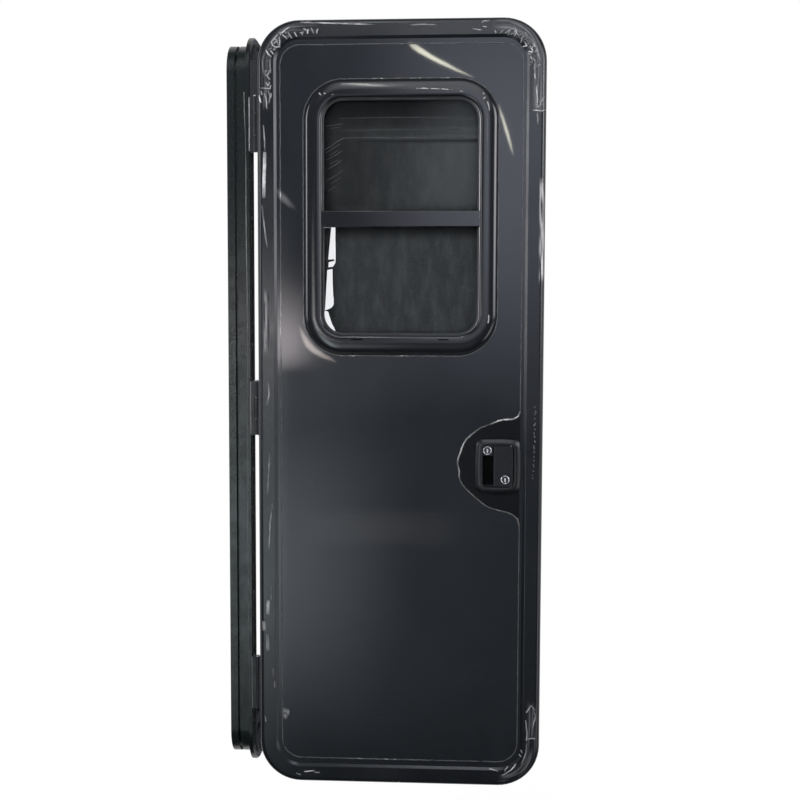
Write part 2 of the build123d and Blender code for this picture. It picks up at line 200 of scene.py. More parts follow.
def spread(tree, source, low, high, start=0.35, end=0.65):
    return flow(tree, "ShaderNodeMapRange", {"Value": source, 1: start, 2: end, 3: low, 4: high})


def cloudy(tree, spot, scale, detail, **more):
    return flow(tree, "ShaderNodeTexNoise", {"Vector": spot, "Scale": scale, "Detail": detail, **more})


def object_spot(tree):
    return node(tree, "ShaderNodeTexCoord").outputs["Object"]


def blank_tree(owner):
    owner.use_nodes = True
    owner.node_tree.nodes.clear()
    return owner.node_tree


# %% [markdown]
# ## Camera
# The photograph looks at the leaf almost square on, from a little above its middle and a little towards
# the lock side. A lens of 45 mm on a 36 mm wide sensor gives its perspective: the top of the leaf is a
# few millimetres wider in the picture than its foot.

# %% Camera
camera_place = Vector((-2.6961, -0.4858, 1.0392))
camera_turn = math.radians(-2.867)
camera_dip = math.radians(3.407)
camera_roll = math.radians(0.177)
frame_pixels = 800
lens_pixels = 1000
sensor_width = 36.0

look = Vector((math.cos(camera_turn) * math.cos(camera_dip), -math.sin(camera_turn) * math.cos(camera_dip),
               -math.sin(camera_dip)))
level_right = Vector((-math.sin(camera_turn), -math.cos(camera_turn), 0))
level_up = level_right.cross(look)
camera_right = level_right * math.cos(camera_roll) + level_up * math.sin(camera_roll)
camera_up = level_up * math.cos(camera_roll) - level_right * math.sin(camera_roll)
camera_axes = Matrix((camera_right, camera_up, -look)).transposed()

camera = linked("camera", bpy.data.cameras.new("camera"))
camera.data.sensor_width = sensor_width
camera.data.lens = sensor_width * lens_pixels / frame_pixels
camera.matrix_world = Matrix.Translation(camera_place) @ camera_axes.to_4x4()
bpy.context.scene.camera = camera
bpy.context.scene.view_settings.view_transform = "Standard"
print("lens", camera.data.lens, "mm")

# %% [markdown]
# ## World and floor
# The photograph has a plain white ground. The world is white to the camera and to reflections, and a
# little less than white as a light. The floor lies as far under the door as the ground lies under a
# caravan's door, and it is mostly its own white to the camera, with a soft shadow left in it.

# %% World and floor
ground_drop = 0.45
ground_half = 14.0
ambient = 0.62
floor_grey, floor_glow, glow_share = 0.86, 1.08, 0.85

bpy.context.scene.world = bpy.data.worlds.new("white_studio")
tree = blank_tree(bpy.context.scene.world)
path = node(tree, "ShaderNodeLightPath").outputs
seen = value(tree, "MAXIMUM", path["Is Camera Ray"], path["Is Glossy Ray"])
seen = value(tree, "MAXIMUM", seen, path["Is Transmission Ray"])
level = node(tree, "ShaderNodeMix", {"Factor": seen, "A": ambient, "B": 1.0}, data_type="FLOAT")
sky = flow(tree, "ShaderNodeBackground", {"Color": (1, 1, 1, 1), "Strength": level.outputs["Result"]})
node(tree, "ShaderNodeOutputWorld", {"Surface": sky})

ground = cad_low.z - ground_drop
floor_corners = [(x * ground_half, y * ground_half, ground) for x, y in ((-1, -1), (1, -1), (1, 1), (-1, 1))]
floor = mesh_object("floor", floor_corners, [(0, 1, 2, 3)], smooth=False)
floor_paint = bpy.data.materials.new("floor_paint")
tree = blank_tree(floor_paint)
path = node(tree, "ShaderNodeLightPath").outputs
seen = value(tree, "MAXIMUM", path["Is Camera Ray"], path["Is Transmission Ray"])
lit = flow(tree, "ShaderNodeBsdfDiffuse", {"Color": (floor_grey, floor_grey, floor_grey, 1)})
glow = flow(tree, "ShaderNodeEmission", {"Color": (1, 1, 1, 1), "Strength": floor_glow})
mixed = flow(tree, "ShaderNodeMixShader", {0: value(tree, "MULTIPLY", seen, glow_share), 1: lit, 2: glow})
node(tree, "ShaderNodeOutputMaterial", {"Surface": mixed})
floor.data.materials.append(floor_paint)
floor.visible_glossy = False
print("floor at", round(ground, 3))

# %% [markdown]
# ## What a black door mirrors
# A black glossy panel shows little of its own colour: it is seen by what it mirrors. In a white room it
# would look grey, so a dark tent stands round the front, as a photographer hangs black cloth, and soft
# cards in it make the pale zones of the photograph. A second cloth behind the door darkens the flange,
# which the camera sees edge on. Tent and cards show in reflections only. A card is placed by where its
# reflection should fall in the picture: the camera's ray to that spot is mirrored in the flat panel and
# followed outwards. Cards that overlap hang one behind the other, because a ray can miss one of two
# sheets that lie in the same plane.

# %% Tent and cards
tent_reach, tent_end = 6.0, 0.9
tent_foot, tent_head, pale_from = -2.6, 3.6, 0.75
tent_low_colour, tent_high_colour = (0.045, 0.052, 0.066, 1), (0.18, 0.20, 0.25, 1)
card_reach, card_step, card_parts = 3.4, 0.03, 10
lamp_reach = 3.3


def mirrored(pixel_x, pixel_y, reach, tilt=0.0):
    ray = camera_axes @ Vector(((pixel_x - frame_pixels / 2) / lens_pixels,
                                (frame_pixels / 2 - pixel_y) / lens_pixels, -1))
    spot = camera_place + ray * ((panel_face - camera_place.x) / ray.x)
    facing = Vector((-math.cos(tilt), 0, math.sin(tilt)))
    return spot + (ray - 2 * ray.dot(facing) * facing) * (reach / ray.x)


def reflections_only(card):
    card.visible_camera = False
    card.visible_diffuse = False
    card.visible_transmission = False
    card.visible_shadow = False
    card.visible_volume_scatter = False


def card_paint(name, colour, strength, fade, lean):
    paint = bpy.data.materials.new(name)
    tree = blank_tree(paint)
    split = node(tree, "ShaderNodeSeparateXYZ", {0: flow(tree, "ShaderNodeUVMap", uv_map="card")}).outputs
    humps = []
    for axis, bend in (("X", 1.0), ("Y", lean)):
        place = value(tree, "POWER", split[axis], bend)
        rest = value(tree, "SUBTRACT", 1.0, place)
        humps.append(value(tree, "MULTIPLY", value(tree, "MULTIPLY", place, rest), 4.0, clamp=True))
    mask = value(tree, "POWER", value(tree, "MULTIPLY", *humps), fade)
    power = value(tree, "MULTIPLY", mask, strength)
    glow = flow(tree, "ShaderNodeEmission", {"Color": (*colour, 1), "Strength": power})
    clear = flow(tree, "ShaderNodeBsdfTransparent")
    both = flow(tree, "ShaderNodeAddShader", {0: glow, 1: clear})
    node(tree, "ShaderNodeOutputMaterial", {"Surface": both})
    return paint


def soft_card(name, rows, colour, strength, fade=1.0, lean=1.0):
    across, last = len(rows[0]), len(rows) - 1
    points = [point for row in rows for point in row]
    card = mesh_object(name, points, grid_faces(len(rows), across), smooth=False)
    marks = card.data.uv_layers.new(name="card")
    for corner, mark in zip(card.data.loops, marks.data):
        row, place = divmod(corner.vertex_index, across)
        mark.uv = (place / (across - 1), row / last)
    card.data.materials.append(card_paint(name, colour, strength, fade, lean))
    reflections_only(card)


def panel_rows(box, reach):
    left, top, right, bottom = box
    parts = [step / card_parts for step in range(card_parts + 1)]
    return [[mirrored(left + (right - left) * i, bottom + (top - bottom) * j, reach) for i in parts]
            for j in parts]


tent_mesh = bmesh.new()
bmesh.ops.create_uvsphere(tent_mesh, u_segments=48, v_segments=32, radius=tent_reach)
back_faces = [face for face in tent_mesh.faces if face.calc_center_median().x > tent_end]
bmesh.ops.delete(tent_mesh, geom=back_faces, context="FACES")
bmesh.ops.translate(tent_mesh, verts=tent_mesh.verts, vec=on_leaf(0, 0, panel_out))
tent = mesh_object("dark_tent", [(0, 0, 0)], [])
tent_mesh.to_mesh(tent.data)
tent_mesh.free()
tent_paint = bpy.data.materials.new("dark_tent")
tree = blank_tree(tent_paint)
split = node(tree, "ShaderNodeSeparateXYZ", {0: object_spot(tree)}).outputs
tone = node(tree, "ShaderNodeValToRGB", {0: spread(tree, split["Z"], 0.0, 1.0, tent_foot, tent_head)})
tone.color_ramp.elements[0].color = tent_low_colour
tone.color_ramp.elements[1].position = pale_from
tone.color_ramp.elements[1].color = tent_high_colour
glow = flow(tree, "ShaderNodeEmission", {"Color": tone.outputs[0], "Strength": 1.0})
node(tree, "ShaderNodeOutputMaterial", {"Surface": glow})
cloth_corners = [(1.6, -0.9, -0.9), (1.6, 1.3, -0.9), (1.6, 1.3, 2.9), (1.6, -0.9, 2.9)]
back_cloth = mesh_object("back_cloth", cloth_corners, [(0, 1, 2, 3)], smooth=False)
for cloth in (tent, back_cloth):
    cloth.data.materials.append(tent_paint)
    reflections_only(cloth)

# Each card: its box in the picture, colour, strength, how steeply it fades, and how its middle leans down.
glow_cards = {
    "upper_right_glow": ((335, -130, 690, 450), (0.80, 0.84, 1.0), 2.3, 1.8, 1.0),
    "left_glow": ((60, 372, 430, 755), (0.84, 0.92, 1.0), 1.75, 1.9, 1.0),
    "left_edge_glow": ((150, 240, 390, 860), (0.88, 0.93, 1.0), 0.36, 1.5, 1.0),
    "under_window_glow": ((190, 300, 450, 428), (0.88, 0.93, 1.0), 0.52, 1.3, 1.0),
    "lower_right_glow": ((330, 420, 660, 780), (0.86, 0.93, 1.0), 0.22, 0.7, 1.0),
    "warm_patch": ((220, 222, 346, 374), (1.0, 0.90, 0.93), 7.0, 4.6, 0.45),
    "warm_band": ((300, 508, 460, 548), (1.0, 0.90, 0.90), 0.38, 0.8, 1.0),
    "frame_glow": ((150, 200, 290, 780), (0.86, 1.0, 0.97), 2.4, 1.1, 1.0),
    "frame_middle_glow": ((140, 205, 300, 440), (1.0, 0.98, 1.0), 1.7, 1.2, 1.0),
}
for order, (name, (box, *paint)) in enumerate(glow_cards.items()):
    soft_card(name, panel_rows(box, card_reach + card_step * order), *paint)
print("tent, back cloth and", len(glow_cards), "cards")

# %% [markdown]
# ## Strips that draw the edges
# The pale lines along lips and bevels are reflections too. A sloping lip looks some fifty-five degrees
# to the side, so a bright upright strip stands there on each side, high up, because the lines fade below
# the latch, with a dimmer one under it on the lock side. Dim strips stand square to the sides, and a
# wide dim card hangs in front overhead for all that slopes upwards.

# %% Edge strips
# Each strip: the angle it stands at and half its width in degrees, strength, middle height and half height.
side_strips = {
    "left_front_strip": (57, 7, 9.5, 1.35, 1.75),
    "left_side_strip": (86, 10, 2.6, 0.2, 2.6),
    "right_front_strip": (-54, 15, 8.5, 1.45, 1.6),
    "right_low_strip": (-54, 15, 2.6, -1.6, 1.3),
    "right_side_strip": (-86, 10, 2.6, 0.2, 2.6),
}
strip_reach = 4.5
for name, (turn, half_turn, strength, middle, half_height) in side_strips.items():
    angles = [math.radians(turn + swing * half_turn) for swing in (-1, 1)]
    stands = [(-strip_reach * math.sin(angle), strip_reach * math.cos(angle)) for angle in angles]
    rows = [[on_leaf(across, middle + half_height * lift, out) for across, out in stands] for lift in (-1, 1)]
    soft_card(name, rows, (0.95, 0.94, 1.0), strength, fade=0.8)
over = [[on_leaf(across, up, out) for across in (-1.6, 2.6)] for up, out in ((2.1, 4.4), (4.3, 1.6))]
soft_card("overhead_card", over, (0.94, 0.97, 1.0), 2.0, fade=0.7)
print(len(side_strips), "upright strips and one card overhead")

# %% [markdown]
# ## Lamp streaks
# Two bright bent streaks lie on the panel beside the window's upper corner: one bent lamp, cut by the
# window frame. A small spot trails off beside the hinge side, a warm tail bends round the window's lower
# corner, and a short streak lies on the window frame's upper side, where the roll slopes by eight to
# seventeen degrees. Each lamp is a soft ribbon along the mirrored place of its streak.

# %% Lamp streaks
# Each streak on the panel: colour, strength and fade, then places in the picture with its width there.
panel_lamps = {
    "upper_lamp": ((1.0, 0.98, 0.80), 25.0, 0.6, (408, 42, 2.0), (415, 47, 6.5), (421, 51, 6.5),
                   (430, 56, 5.0), (440, 61.5, 4.4), (455, 69, 3.2), (474, 77, 1.2)),
    "side_lamp": ((1.0, 0.98, 0.80), 19.0, 0.6, (498, 104, 0.8), (502, 117, 3.0), (506, 131, 3.4),
                  (510, 144, 2.6), (513, 156, 0.8)),
    "spot_lamp": ((1.0, 0.97, 0.99), 4.0, 1.6, (275, 186, 3), (279, 192, 7), (284, 198, 9), (290, 204, 7),
                  (297, 211, 2)),
    "warm_lamp": ((1.0, 0.88, 0.82), 12.0, 0.8, (299, 325, 1.5), (304, 337, 6), (309, 345, 8), (316, 351, 7),
                  (324, 356.5, 5), (337, 363, 1.5)),
}
# On the roll each place has the two slopes, in degrees, between which the streak lies.
roll_streak = ((338, 83.0, 16.5, 18.0), (350, 83.7, 13.5, 17.0), (362, 84.8, 10.5, 14.0),
               (373, 86.0, 8.0, 11.0), (386, 87.0, 6.5, 7.5))


def panel_ends(track):
    pairs = []
    for index, (x, y, width) in enumerate(track):
        before, after = track[max(index - 1, 0)], track[min(index + 1, len(track) - 1)]
        run = Vector((after[0] - before[0], after[1] - before[1])).normalized() * width / 2
        pairs.append([mirrored(x - run.y * side, y + run.x * side, lamp_reach) for side in (-1, 1)])
    return pairs


for name, (colour, strength, fade, *track) in panel_lamps.items():
    soft_card(name, panel_ends(track), colour, strength, fade)
roll_ends = [[mirrored(x, y, lamp_reach, math.radians(tilt)) for tilt in tilts]
             for x, y, *tilts in roll_streak]
soft_card("roll_lamp", roll_ends, (1.0, 0.98, 0.96), 30.0, 0.7)
print(len(panel_lamps) + 1, "lamp ribbons")

# %% [markdown]
# ## Lamps
# One wide softbox overhead in front lights the colours themselves. It stays out of reflections, which
# the cards already draw, and out of what lies behind the glass, which the white room lights evenly.

# %% Lamps
softbox = linked("softbox", bpy.data.lights.new("softbox", "AREA"))
softbox.data.shape = "RECTANGLE"
softbox.data.size = 2.6
softbox.data.size_y = 1.6
softbox.data.energy = 70.0
softbox.location = (-2.6, 0.5, 3.1)
softbox.rotation_euler = (on_leaf(0, 0, 0) - softbox.location).to_track_quat("-Z", "Y").to_euler()
softbox.visible_glossy = False
softbox.visible_transmission = False
print("softbox", softbox.data.energy, "W")

# %% [markdown]
# ## Shared effects
# Three effects return in many finishes, so each is a node group. Grain is the fine tooth of a moulding
# or a powder coat. Smudge is the uneven haze, the faint diagonal wipes and the slow ripple of a
# film-covered panel. Specks are the scattered light dust that settles on glass.

# %% Shared effects
def effect_group(name, inputs, outputs):
    group = bpy.data.node_groups.new(name, "ShaderNodeTree")
    for label, default in inputs.items():
        socket = group.interface.new_socket(label, in_out="INPUT", socket_type="NodeSocketFloat")
        socket.default_value = default
    for label in outputs:
        group.interface.new_socket(label, in_out="OUTPUT", socket_type="NodeSocketFloat")
    return group, node(group, "NodeGroupInput").outputs, object_spot(group)


def stretched(tree, spot, scale, **more):
    return flow(tree, "ShaderNodeMapping", {"Vector": spot, "Scale": scale, **more})


grain, given, spot = effect_group("grain", {"Scale": 900.0}, ("Height", "Mottle"))
tooth = cloudy(grain, spot, given["Scale"], 3.0, Roughness=0.6)
patch = cloudy(grain, spot, value(grain, "MULTIPLY", given["Scale"], 0.02), 4.0)
node(grain, "NodeGroupOutput", {"Height": tooth, "Mottle": patch})

smudge, given, spot = effect_group("smudge", {"Ripple": 130.0}, ("Haze", "Wipes", "Peel"))
haze = cloudy(smudge, spot, 4.5, 5.0, Distortion=0.7)
drawn = stretched(smudge, spot, (1.0, 5.0, 60.0), Rotation=(0.75, 0, 0))
wipes = cloudy(smudge, drawn, 2.2, 5.0, Roughness=0.62)
fine, slow = cloudy(smudge, spot, given["Ripple"], 1.0), cloudy(smudge, spot, 7.0, 1.0)
node(smudge, "NodeGroupOutput", {"Haze": haze, "Wipes": spread(smudge, wipes, 0.0, 1.0, 0.58, 0.8),
                                 "Peel": value(smudge, "MULTIPLY_ADD", slow, 14.0, fine)})

specks, given, spot = effect_group("specks", {"Scale": 260.0, "Size": 0.16}, ("Specks",))
cells = node(specks, "ShaderNodeTexVoronoi", {"Vector": spot, "Scale": given["Scale"]})
dots = value(specks, "LESS_THAN", cells.outputs["Distance"], given["Size"])
thick = spread(specks, cloudy(specks, spot, 14.0, 3.0), 0.0, 1.0, 0.45, 0.7)
node(specks, "NodeGroupOutput", {"Specks": value(specks, "MULTIPLY", dots, thick)})
print("effects", [group.name for group in (grain, smudge, specks)])

# %% [markdown]
# ## Finishes from the effects
# Mouldings, powder coat, rubber and steel differ in colour, gloss and tooth, not in kind, so one recipe
# makes them all: mottle shifts the colour and the roughness a little, and the tooth goes to a bump.

# %% Plain finishes
def new_finish(name):
    finish = bpy.data.materials.new(name)
    tree = blank_tree(finish)
    shader = node(tree, "ShaderNodeBsdfPrincipled")
    node(tree, "ShaderNodeOutputMaterial", {"Surface": shader.outputs[0]})
    return finish, tree, shader


def effect(tree, group, **inputs):
    made = node(tree, "ShaderNodeGroup", node_tree=group)
    fill(tree, made, inputs)
    return made.outputs


def bumped(tree, height, depth):
    return flow(tree, "ShaderNodeBump", {"Height": height, "Distance": depth, "Strength": 1.0})


def blend_colours(tree, factor, first, second):
    made = node(tree, "ShaderNodeMix", {"Factor": factor}, data_type="RGBA")
    for label, colour in (("A", first), ("B", second)):
        socket = next(s for s in made.inputs if s.name == label and s.type == "RGBA")
        if isinstance(colour, bpy.types.NodeSocket):
            tree.links.new(colour, socket)
        else:
            socket.default_value = (*colour, 1)
    return next(s for s in made.outputs if s.type == "RGBA")


def toothed(name, colour, roughness, scale, depth, vary=0.3, metal=0.0, gloss=0.5):
    finish, tree, shader = new_finish(name)
    tooth = effect(tree, grain, Scale=scale)
    dark, pale = [tuple(c * share for c in colour) for share in (1 - vary, 1 + vary)]
    fill(tree, shader, {
        "Base Color": blend_colours(tree, spread(tree, tooth["Mottle"], 0.0, 1.0), dark, pale),
        "Roughness": spread(tree, tooth["Mottle"], roughness * 1.15, roughness * 0.85),
        "Normal": bumped(tree, tooth["Height"], depth), "Metallic": metal, "Specular IOR Level": gloss})
    return finish


# Each finish: colour, roughness, the tooth's scale and depth, then how the colour varies, metal and gloss.
plain_finishes = {
    "frame_coat": ((0.0045, 0.0070, 0.0066), 0.26, 1400, 0.00002, 0.3, 0.0, 0.36),
    "inner_skin_coat": ((0.020, 0.022, 0.025), 0.5, 1500, 0.00004),
    "core_foam": ((0.75, 0.72, 0.62), 0.9, 700, 0.0002, 0.08),
    "hinge_coat": ((0.010, 0.0105, 0.012), 0.35, 1400, 0.00002, 0.3, 0.0, 0.35),
    "plain_steel": ((0.56, 0.56, 0.57), 0.34, 1600, 0.00002, 0.1, 1.0),
    "seal_rubber": ((0.018, 0.018, 0.019), 0.72, 900, 0.00005, 0.3, 0.0, 0.3),
    "window_plastic": ((0.0080, 0.0082, 0.0100), 0.11, 1500, 0.000002, 0.1),
    "latch_plastic": ((0.0050, 0.0055, 0.0065), 0.3, 1500, 0.00002, 0.3, 0.0, 0.42),
    "lock_chrome": ((0.60, 0.60, 0.61), 0.22, 2000, 0.000005, 0.06, 1.0),
    "plug_steel": ((0.10, 0.10, 0.105), 0.3, 2000, 0.000005, 0.1, 1.0),
    # Pale satin for the painted highlight in the keyways.
    "keyway_highlight_satin": ((0.50, 0.50, 0.52), 0.4, 2000, 0.000005, 0.05),
    # Near black for painted shadow in the slots and the finger well.
    "painted_shadow_black": ((0.0015, 0.0016, 0.0018), 0.7, 900, 0.00002, 0.3, 0.0, 0.1),
    "gasket_rubber": ((0.030, 0.030, 0.034), 0.5, 900, 0.00003),
    "screw_black": ((0.05, 0.05, 0.053), 0.35, 1500, 0.00002, 0.3, 0.6),
}
finishes = {name: toothed(name, *recipe) for name, recipe in plain_finishes.items()}
print("finishes", sorted(finishes))

# %% [markdown]
# ## Film-covered paint
# The skin and the trim are painted black and still wear clear protective film. The paint is a dark
# blue-grey, the film a sharp gloss over it: the shader's coat. Haze and wipes change the colour and the
# lower layer's roughness. Bare paint and the trim, whose film is stretched tight, have no such coat,
# only a duller shine with a fine ripple.

# %% Film-covered paint
def filmed(name, dark, pale, roughness, ripple_depth, coat, gloss):
    finish, tree, shader = new_finish(name)
    marks = effect(tree, smudge, Ripple=130.0)
    shade = blend_colours(tree, spread(tree, marks["Haze"], 0.0, 1.0), dark, pale)
    wiped = tuple(2.2 * c for c in pale)
    fill(tree, shader, {
        "Base Color": blend_colours(tree, value(tree, "MULTIPLY", marks["Wipes"], 0.35), shade, wiped),
        "Roughness": spread(tree, marks["Haze"], roughness - 0.05, roughness + 0.08),
        "Normal": bumped(tree, marks["Peel"], ripple_depth), "Specular IOR Level": gloss,
        "Coat Weight": coat, "Coat Roughness": 0.024})
    return finish


# Each paint: dark and pale colour, roughness, depth of the ripple, coat and gloss.
painted = {
    "skin_coat": ((0.0034, 0.0038, 0.0046), (0.0046, 0.0050, 0.0060), 0.3, 0.000003, 0.0, 0.15),
    "film_gloss": ((0.0045, 0.0060, 0.0081), (0.0066, 0.0084, 0.0110), 0.36, 0.000003, 0.8, 0.12),
    "trim_coat": ((0.0045, 0.0056, 0.0074), (0.0068, 0.0080, 0.0102), 0.2, 0.000008, 0.0, 0.42),
}
finishes.update((name, filmed(name, *recipe)) for name, recipe in painted.items())
print("film-covered", sorted(painted))

# %% [markdown]
# ## Glass and screen cloth
# The panes are clear. The dark look comes from the woven screen behind them: uneven threads, drawn as
# two crossed noises that are stretched along the warp and along the weft. Pale streaks hang down in the
# cloth, drawn as one more stretched noise. Two attributes of the sheet carry painted light: a painted
# highlight on the pleats with a painted reflection above the rail, which lighten the cloth, and painted
# shade under the frame and beside it, which darkens it.

# %% Glass and screen
finishes["pane_glass"], tree, shader = new_finish("pane_glass")
dust = effect(tree, specks, Scale=180.0, Size=0.10)[0]
dusty = value(tree, "MULTIPLY", dust, 0.12)
fill(tree, shader, {"Base Color": blend_colours(tree, dusty, (0.85, 0.86, 0.88), (0.48, 0.49, 0.5)),
                    "Roughness": value(tree, "MULTIPLY_ADD", dusty, 0.3, 0.02),
                    "Transmission Weight": 1.0, "IOR": 1.02})


def marked(tree, label):
    return node(tree, "ShaderNodeAttribute", attribute_name=label).outputs["Fac"]


finishes["screen_mesh"], tree, shader = new_finish("screen_mesh")
spot = object_spot(tree)
threads = [spread(tree, cloudy(tree, stretched(tree, spot, stretch), 1.0, 2.0), 0.0, 1.0)
           for stretch in ((1.0, 60.0, 650.0), (1.0, 650.0, 60.0))]
weave = value(tree, "MULTIPLY", value(tree, "ADD", *threads), 0.5)
woven = blend_colours(tree, weave, (0.034, 0.0368, 0.0380), (0.050, 0.0540, 0.0556))
# Pale streaks drawn out downwards in the cloth.
pale_streaks = cloudy(tree, stretched(tree, spot, (1.0, 42.0, 14.0)), 1.0, 5.0, Roughness=0.6)
woven = blend_colours(tree, spread(tree, pale_streaks, 0.0, 0.55, 0.42, 0.72), woven, (0.088, 0.097, 0.095))
# Painted highlight on the pleats and painted reflection on the lock side above the rail, from the sheet's
# attribute.
woven = blend_colours(tree, marked(tree, "pleat_highlight_and_reflection"), woven, (0.125, 0.133, 0.138))
# Painted shade from the sheet's shade attribute: under the frame, in a crease, along the hinge side and under
# the rail.
woven = blend_colours(tree, marked(tree, "shade"), woven, (0.0034, 0.0038, 0.0040))
fill(tree, shader, {"Base Color": woven, "Roughness": 0.8, "Specular IOR Level": 0.2})

slot_names = {part["node"]: part["material_slot"] for part in frame["record"]["subparts"]}
for name, cad_node in frame["nodes"].items():
    finish = "plug_steel" if name.endswith("key_plug") else slot_names[name]
    cad_node.material_slots[0].material = finishes[finish]
print("dressed", len(frame["nodes"]), "nodes")

# %% [markdown]
# ## Outlines
# Film, gaskets and screen all follow rounded rectangles, and the film has a bay torn out round the
# latch. One helper walks a rounded rectangle, another draws a smooth line through a few points, and a
# third fills outlines with a sheet whose faces are cut on a grid, so that the sheet can ripple.

# %% Outlines
def ease(low, high, amount):
    t = min(max((amount - low) / (high - low), 0), 1)
    return t * t * (3 - 2 * t)


def rounded(left, right, foot, top, corner, steps=14):
    points = []
    centres = ((right - corner, top - corner), (left + corner, top - corner),
               (left + corner, foot + corner), (right - corner, foot + corner))
    for quarter, (across, up) in enumerate(centres):
        for step in range(steps + 1):
            angle = math.pi / 2 * (quarter + step / steps)
            points.append((across + corner * math.cos(angle), up + corner * math.sin(angle)))
    return points


def smooth_line(points, steps=8):
    line = []
    for index in range(len(points) - 1):
        ends = [Vector(points[min(max(index + k, 0), len(points) - 1)]) for k in (-1, 0, 1, 2)]
        for step in range(steps):
            t = step / steps
            line.append(0.5 * (2 * ends[1] + (ends[2] - ends[0]) * t
                               + (2 * ends[0] - 5 * ends[1] + 4 * ends[2] - ends[3]) * t ** 2
                               + (3 * ends[1] - ends[0] - 3 * ends[2] + ends[3]) * t ** 3))
    return [tuple(point) for point in line] + [tuple(points[-1])]


def filled_sheet(loops, step):
    sheet = bmesh.new()
    for loop in loops:
        ring = [sheet.verts.new((across, up, 0)) for across, up in loop]
        for first, second in zip(ring, ring[1:] + ring[:1]):
            sheet.edges.new((first, second))
    bmesh.ops.triangle_fill(sheet, use_beauty=True, edges=sheet.edges[:], normal=(0, 0, 1))
    for axis in (0, 1):
        spots = [vert.co[axis] for vert in sheet.verts]
        for cut in range(1, int((max(spots) - min(spots)) / step) + 1):
            place = Vector((0, 0, 0))
            place[axis] = min(spots) + cut * step
            across = Vector((0, 0, 0))
            across[axis] = 1
            parts = sheet.verts[:] + sheet.edges[:] + sheet.faces[:]
            bmesh.ops.bisect_plane(sheet, geom=parts, dist=0.00001, plane_co=place, plane_no=across)
    return sheet


def sheet_object(name, sheet, lift):
    for vert in sheet.verts:
        across, up = vert.co.x, vert.co.y
        vert.co = on_leaf(across, up, lift(across, up))
    bmesh.ops.recalc_face_normals(sheet, faces=sheet.faces)
    made = mesh_object(name, [(0, 0, 0)], [])
    sheet.to_mesh(made.data)
    sheet.free()
    for face in made.data.polygons:
        face.use_smooth = True
    return face_forwards(made)


print("outline of", len(rounded(-1, 1, -1, 1, 0.2)), "points")

# %% [markdown]
# ## Film on the panel
# The panel's film stops short of the trim, where a second strip of film runs along the lip. It leaves
# the window free and is torn away round the latch in a half moon. Bare paint there is duller and darker
# than the film. The sheet floats a fifth of a millimetre off the paint and ripples by less than that.

# %% Panel film
film_lift = 0.0002
film_edges = {"left": -0.2795, "right": 0.281, "foot": -0.8385, "top": 0.840, "corner": 0.046}
tear_points = (
    (0.2810, -0.270), (0.2762, -0.2565), (0.2663, -0.2472), (0.2476, -0.2392), (0.2242, -0.2335),
    (0.2054, -0.2267), (0.1772, -0.2052), (0.1537, -0.1835), (0.1419, -0.1648), (0.1394, -0.1412),
    (0.1357, -0.1189), (0.1433, -0.0976), (0.1472, -0.0847), (0.1552, -0.0705), (0.1645, -0.0611),
    (0.1876, -0.0433), (0.2085, -0.0350), (0.2340, -0.0238), (0.2502, -0.0220), (0.2664, -0.0205),
    (0.2768, -0.0123), (0.2810, -0.0018),
)
tear_line = smooth_line(tear_points, 4)
window_gap, foot_gap = 0.004, 0.009
ring_low, ring_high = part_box("window_outer_frame")
ring_left, ring_right = leaf_middle - ring_high.y, leaf_middle - ring_low.y
ring_foot, ring_top = ring_low.z - leaf_level, ring_high.z - leaf_level
ring_corner = 0.089
lip_inset, under_lip_corner = 0.0462, 0.0528
edge_line = rounded(**film_edges)
window_loop = rounded(ring_left - window_gap, ring_right + window_gap, ring_foot - foot_gap,
                      ring_top + window_gap, ring_corner + window_gap)
under_lip = rounded(lip_inset - leaf_half_width, leaf_half_width - lip_inset, lip_inset - leaf_half_height,
                    leaf_half_height - lip_inset, under_lip_corner)


def film_ripple(across, up):
    swell = noise.noise(Vector((across * 6, up * 6, 2.0)))
    swell += 0.5 * noise.noise(Vector((across * 19, up * 19, 5.0)))
    return panel_out + film_lift * (1.0 + 0.3 * swell)


for name, loops, step in (("panel_film", (edge_line + tear_line, window_loop), 0.016),
                          ("edge_film", (under_lip, edge_line), 0.03)):
    film = sheet_object(name, filled_sheet(loops, step), film_ripple)
    dress(film, finishes["film_gloss"], "leaf")

# %% [markdown]
# ## A bead along a line
# Torn film edges, glazing gaskets and seal lips are all a thin bead that follows a line. A Geometry
# Nodes tree makes them: it turns a line of edges into a curve, wanders a little if asked, swells and
# thins with a noise, and sweeps a small circle along it, pressed flat towards the leaf if asked. How far
# the edge lifts is kept for the finish.

# %% Bead tree
def shape_tree(name, numbers):
    tree = bpy.data.node_groups.new(name, "GeometryNodeTree")
    tree.interface.new_socket("Geometry", in_out="INPUT", socket_type="NodeSocketGeometry")
    for label, default in numbers.items():
        socket = tree.interface.new_socket(label, in_out="INPUT", socket_type="NodeSocketFloat")
        socket.default_value = default
    tree.interface.new_socket("Material", in_out="INPUT", socket_type="NodeSocketMaterial")
    tree.interface.new_socket("Geometry", in_out="OUTPUT", socket_type="NodeSocketGeometry")
    return tree, node(tree, "NodeGroupInput").outputs


def kept(tree, geometry, label, amount):
    inputs = {"Geometry": geometry, "Name": label, "Value": amount}
    return flow(tree, "GeometryNodeStoreNamedAttribute", inputs, data_type="FLOAT", domain="POINT")


def recalled(tree, label, kind="FLOAT"):
    return flow(tree, "GeometryNodeInputNamedAttribute", {"Name": label}, data_type=kind)


def moved(tree, geometry, offset):
    return flow(tree, "GeometryNodeSetPosition", {"Geometry": geometry, "Offset": offset})


def finish_tree(tree, geometry, finish):
    solid = flow(tree, "GeometryNodeRealizeInstances", {"Geometry": geometry})
    dressed = flow(tree, "GeometryNodeSetMaterial", {"Geometry": solid, "Material": finish})
    node(tree, "NodeGroupOutput", {"Geometry": dressed})


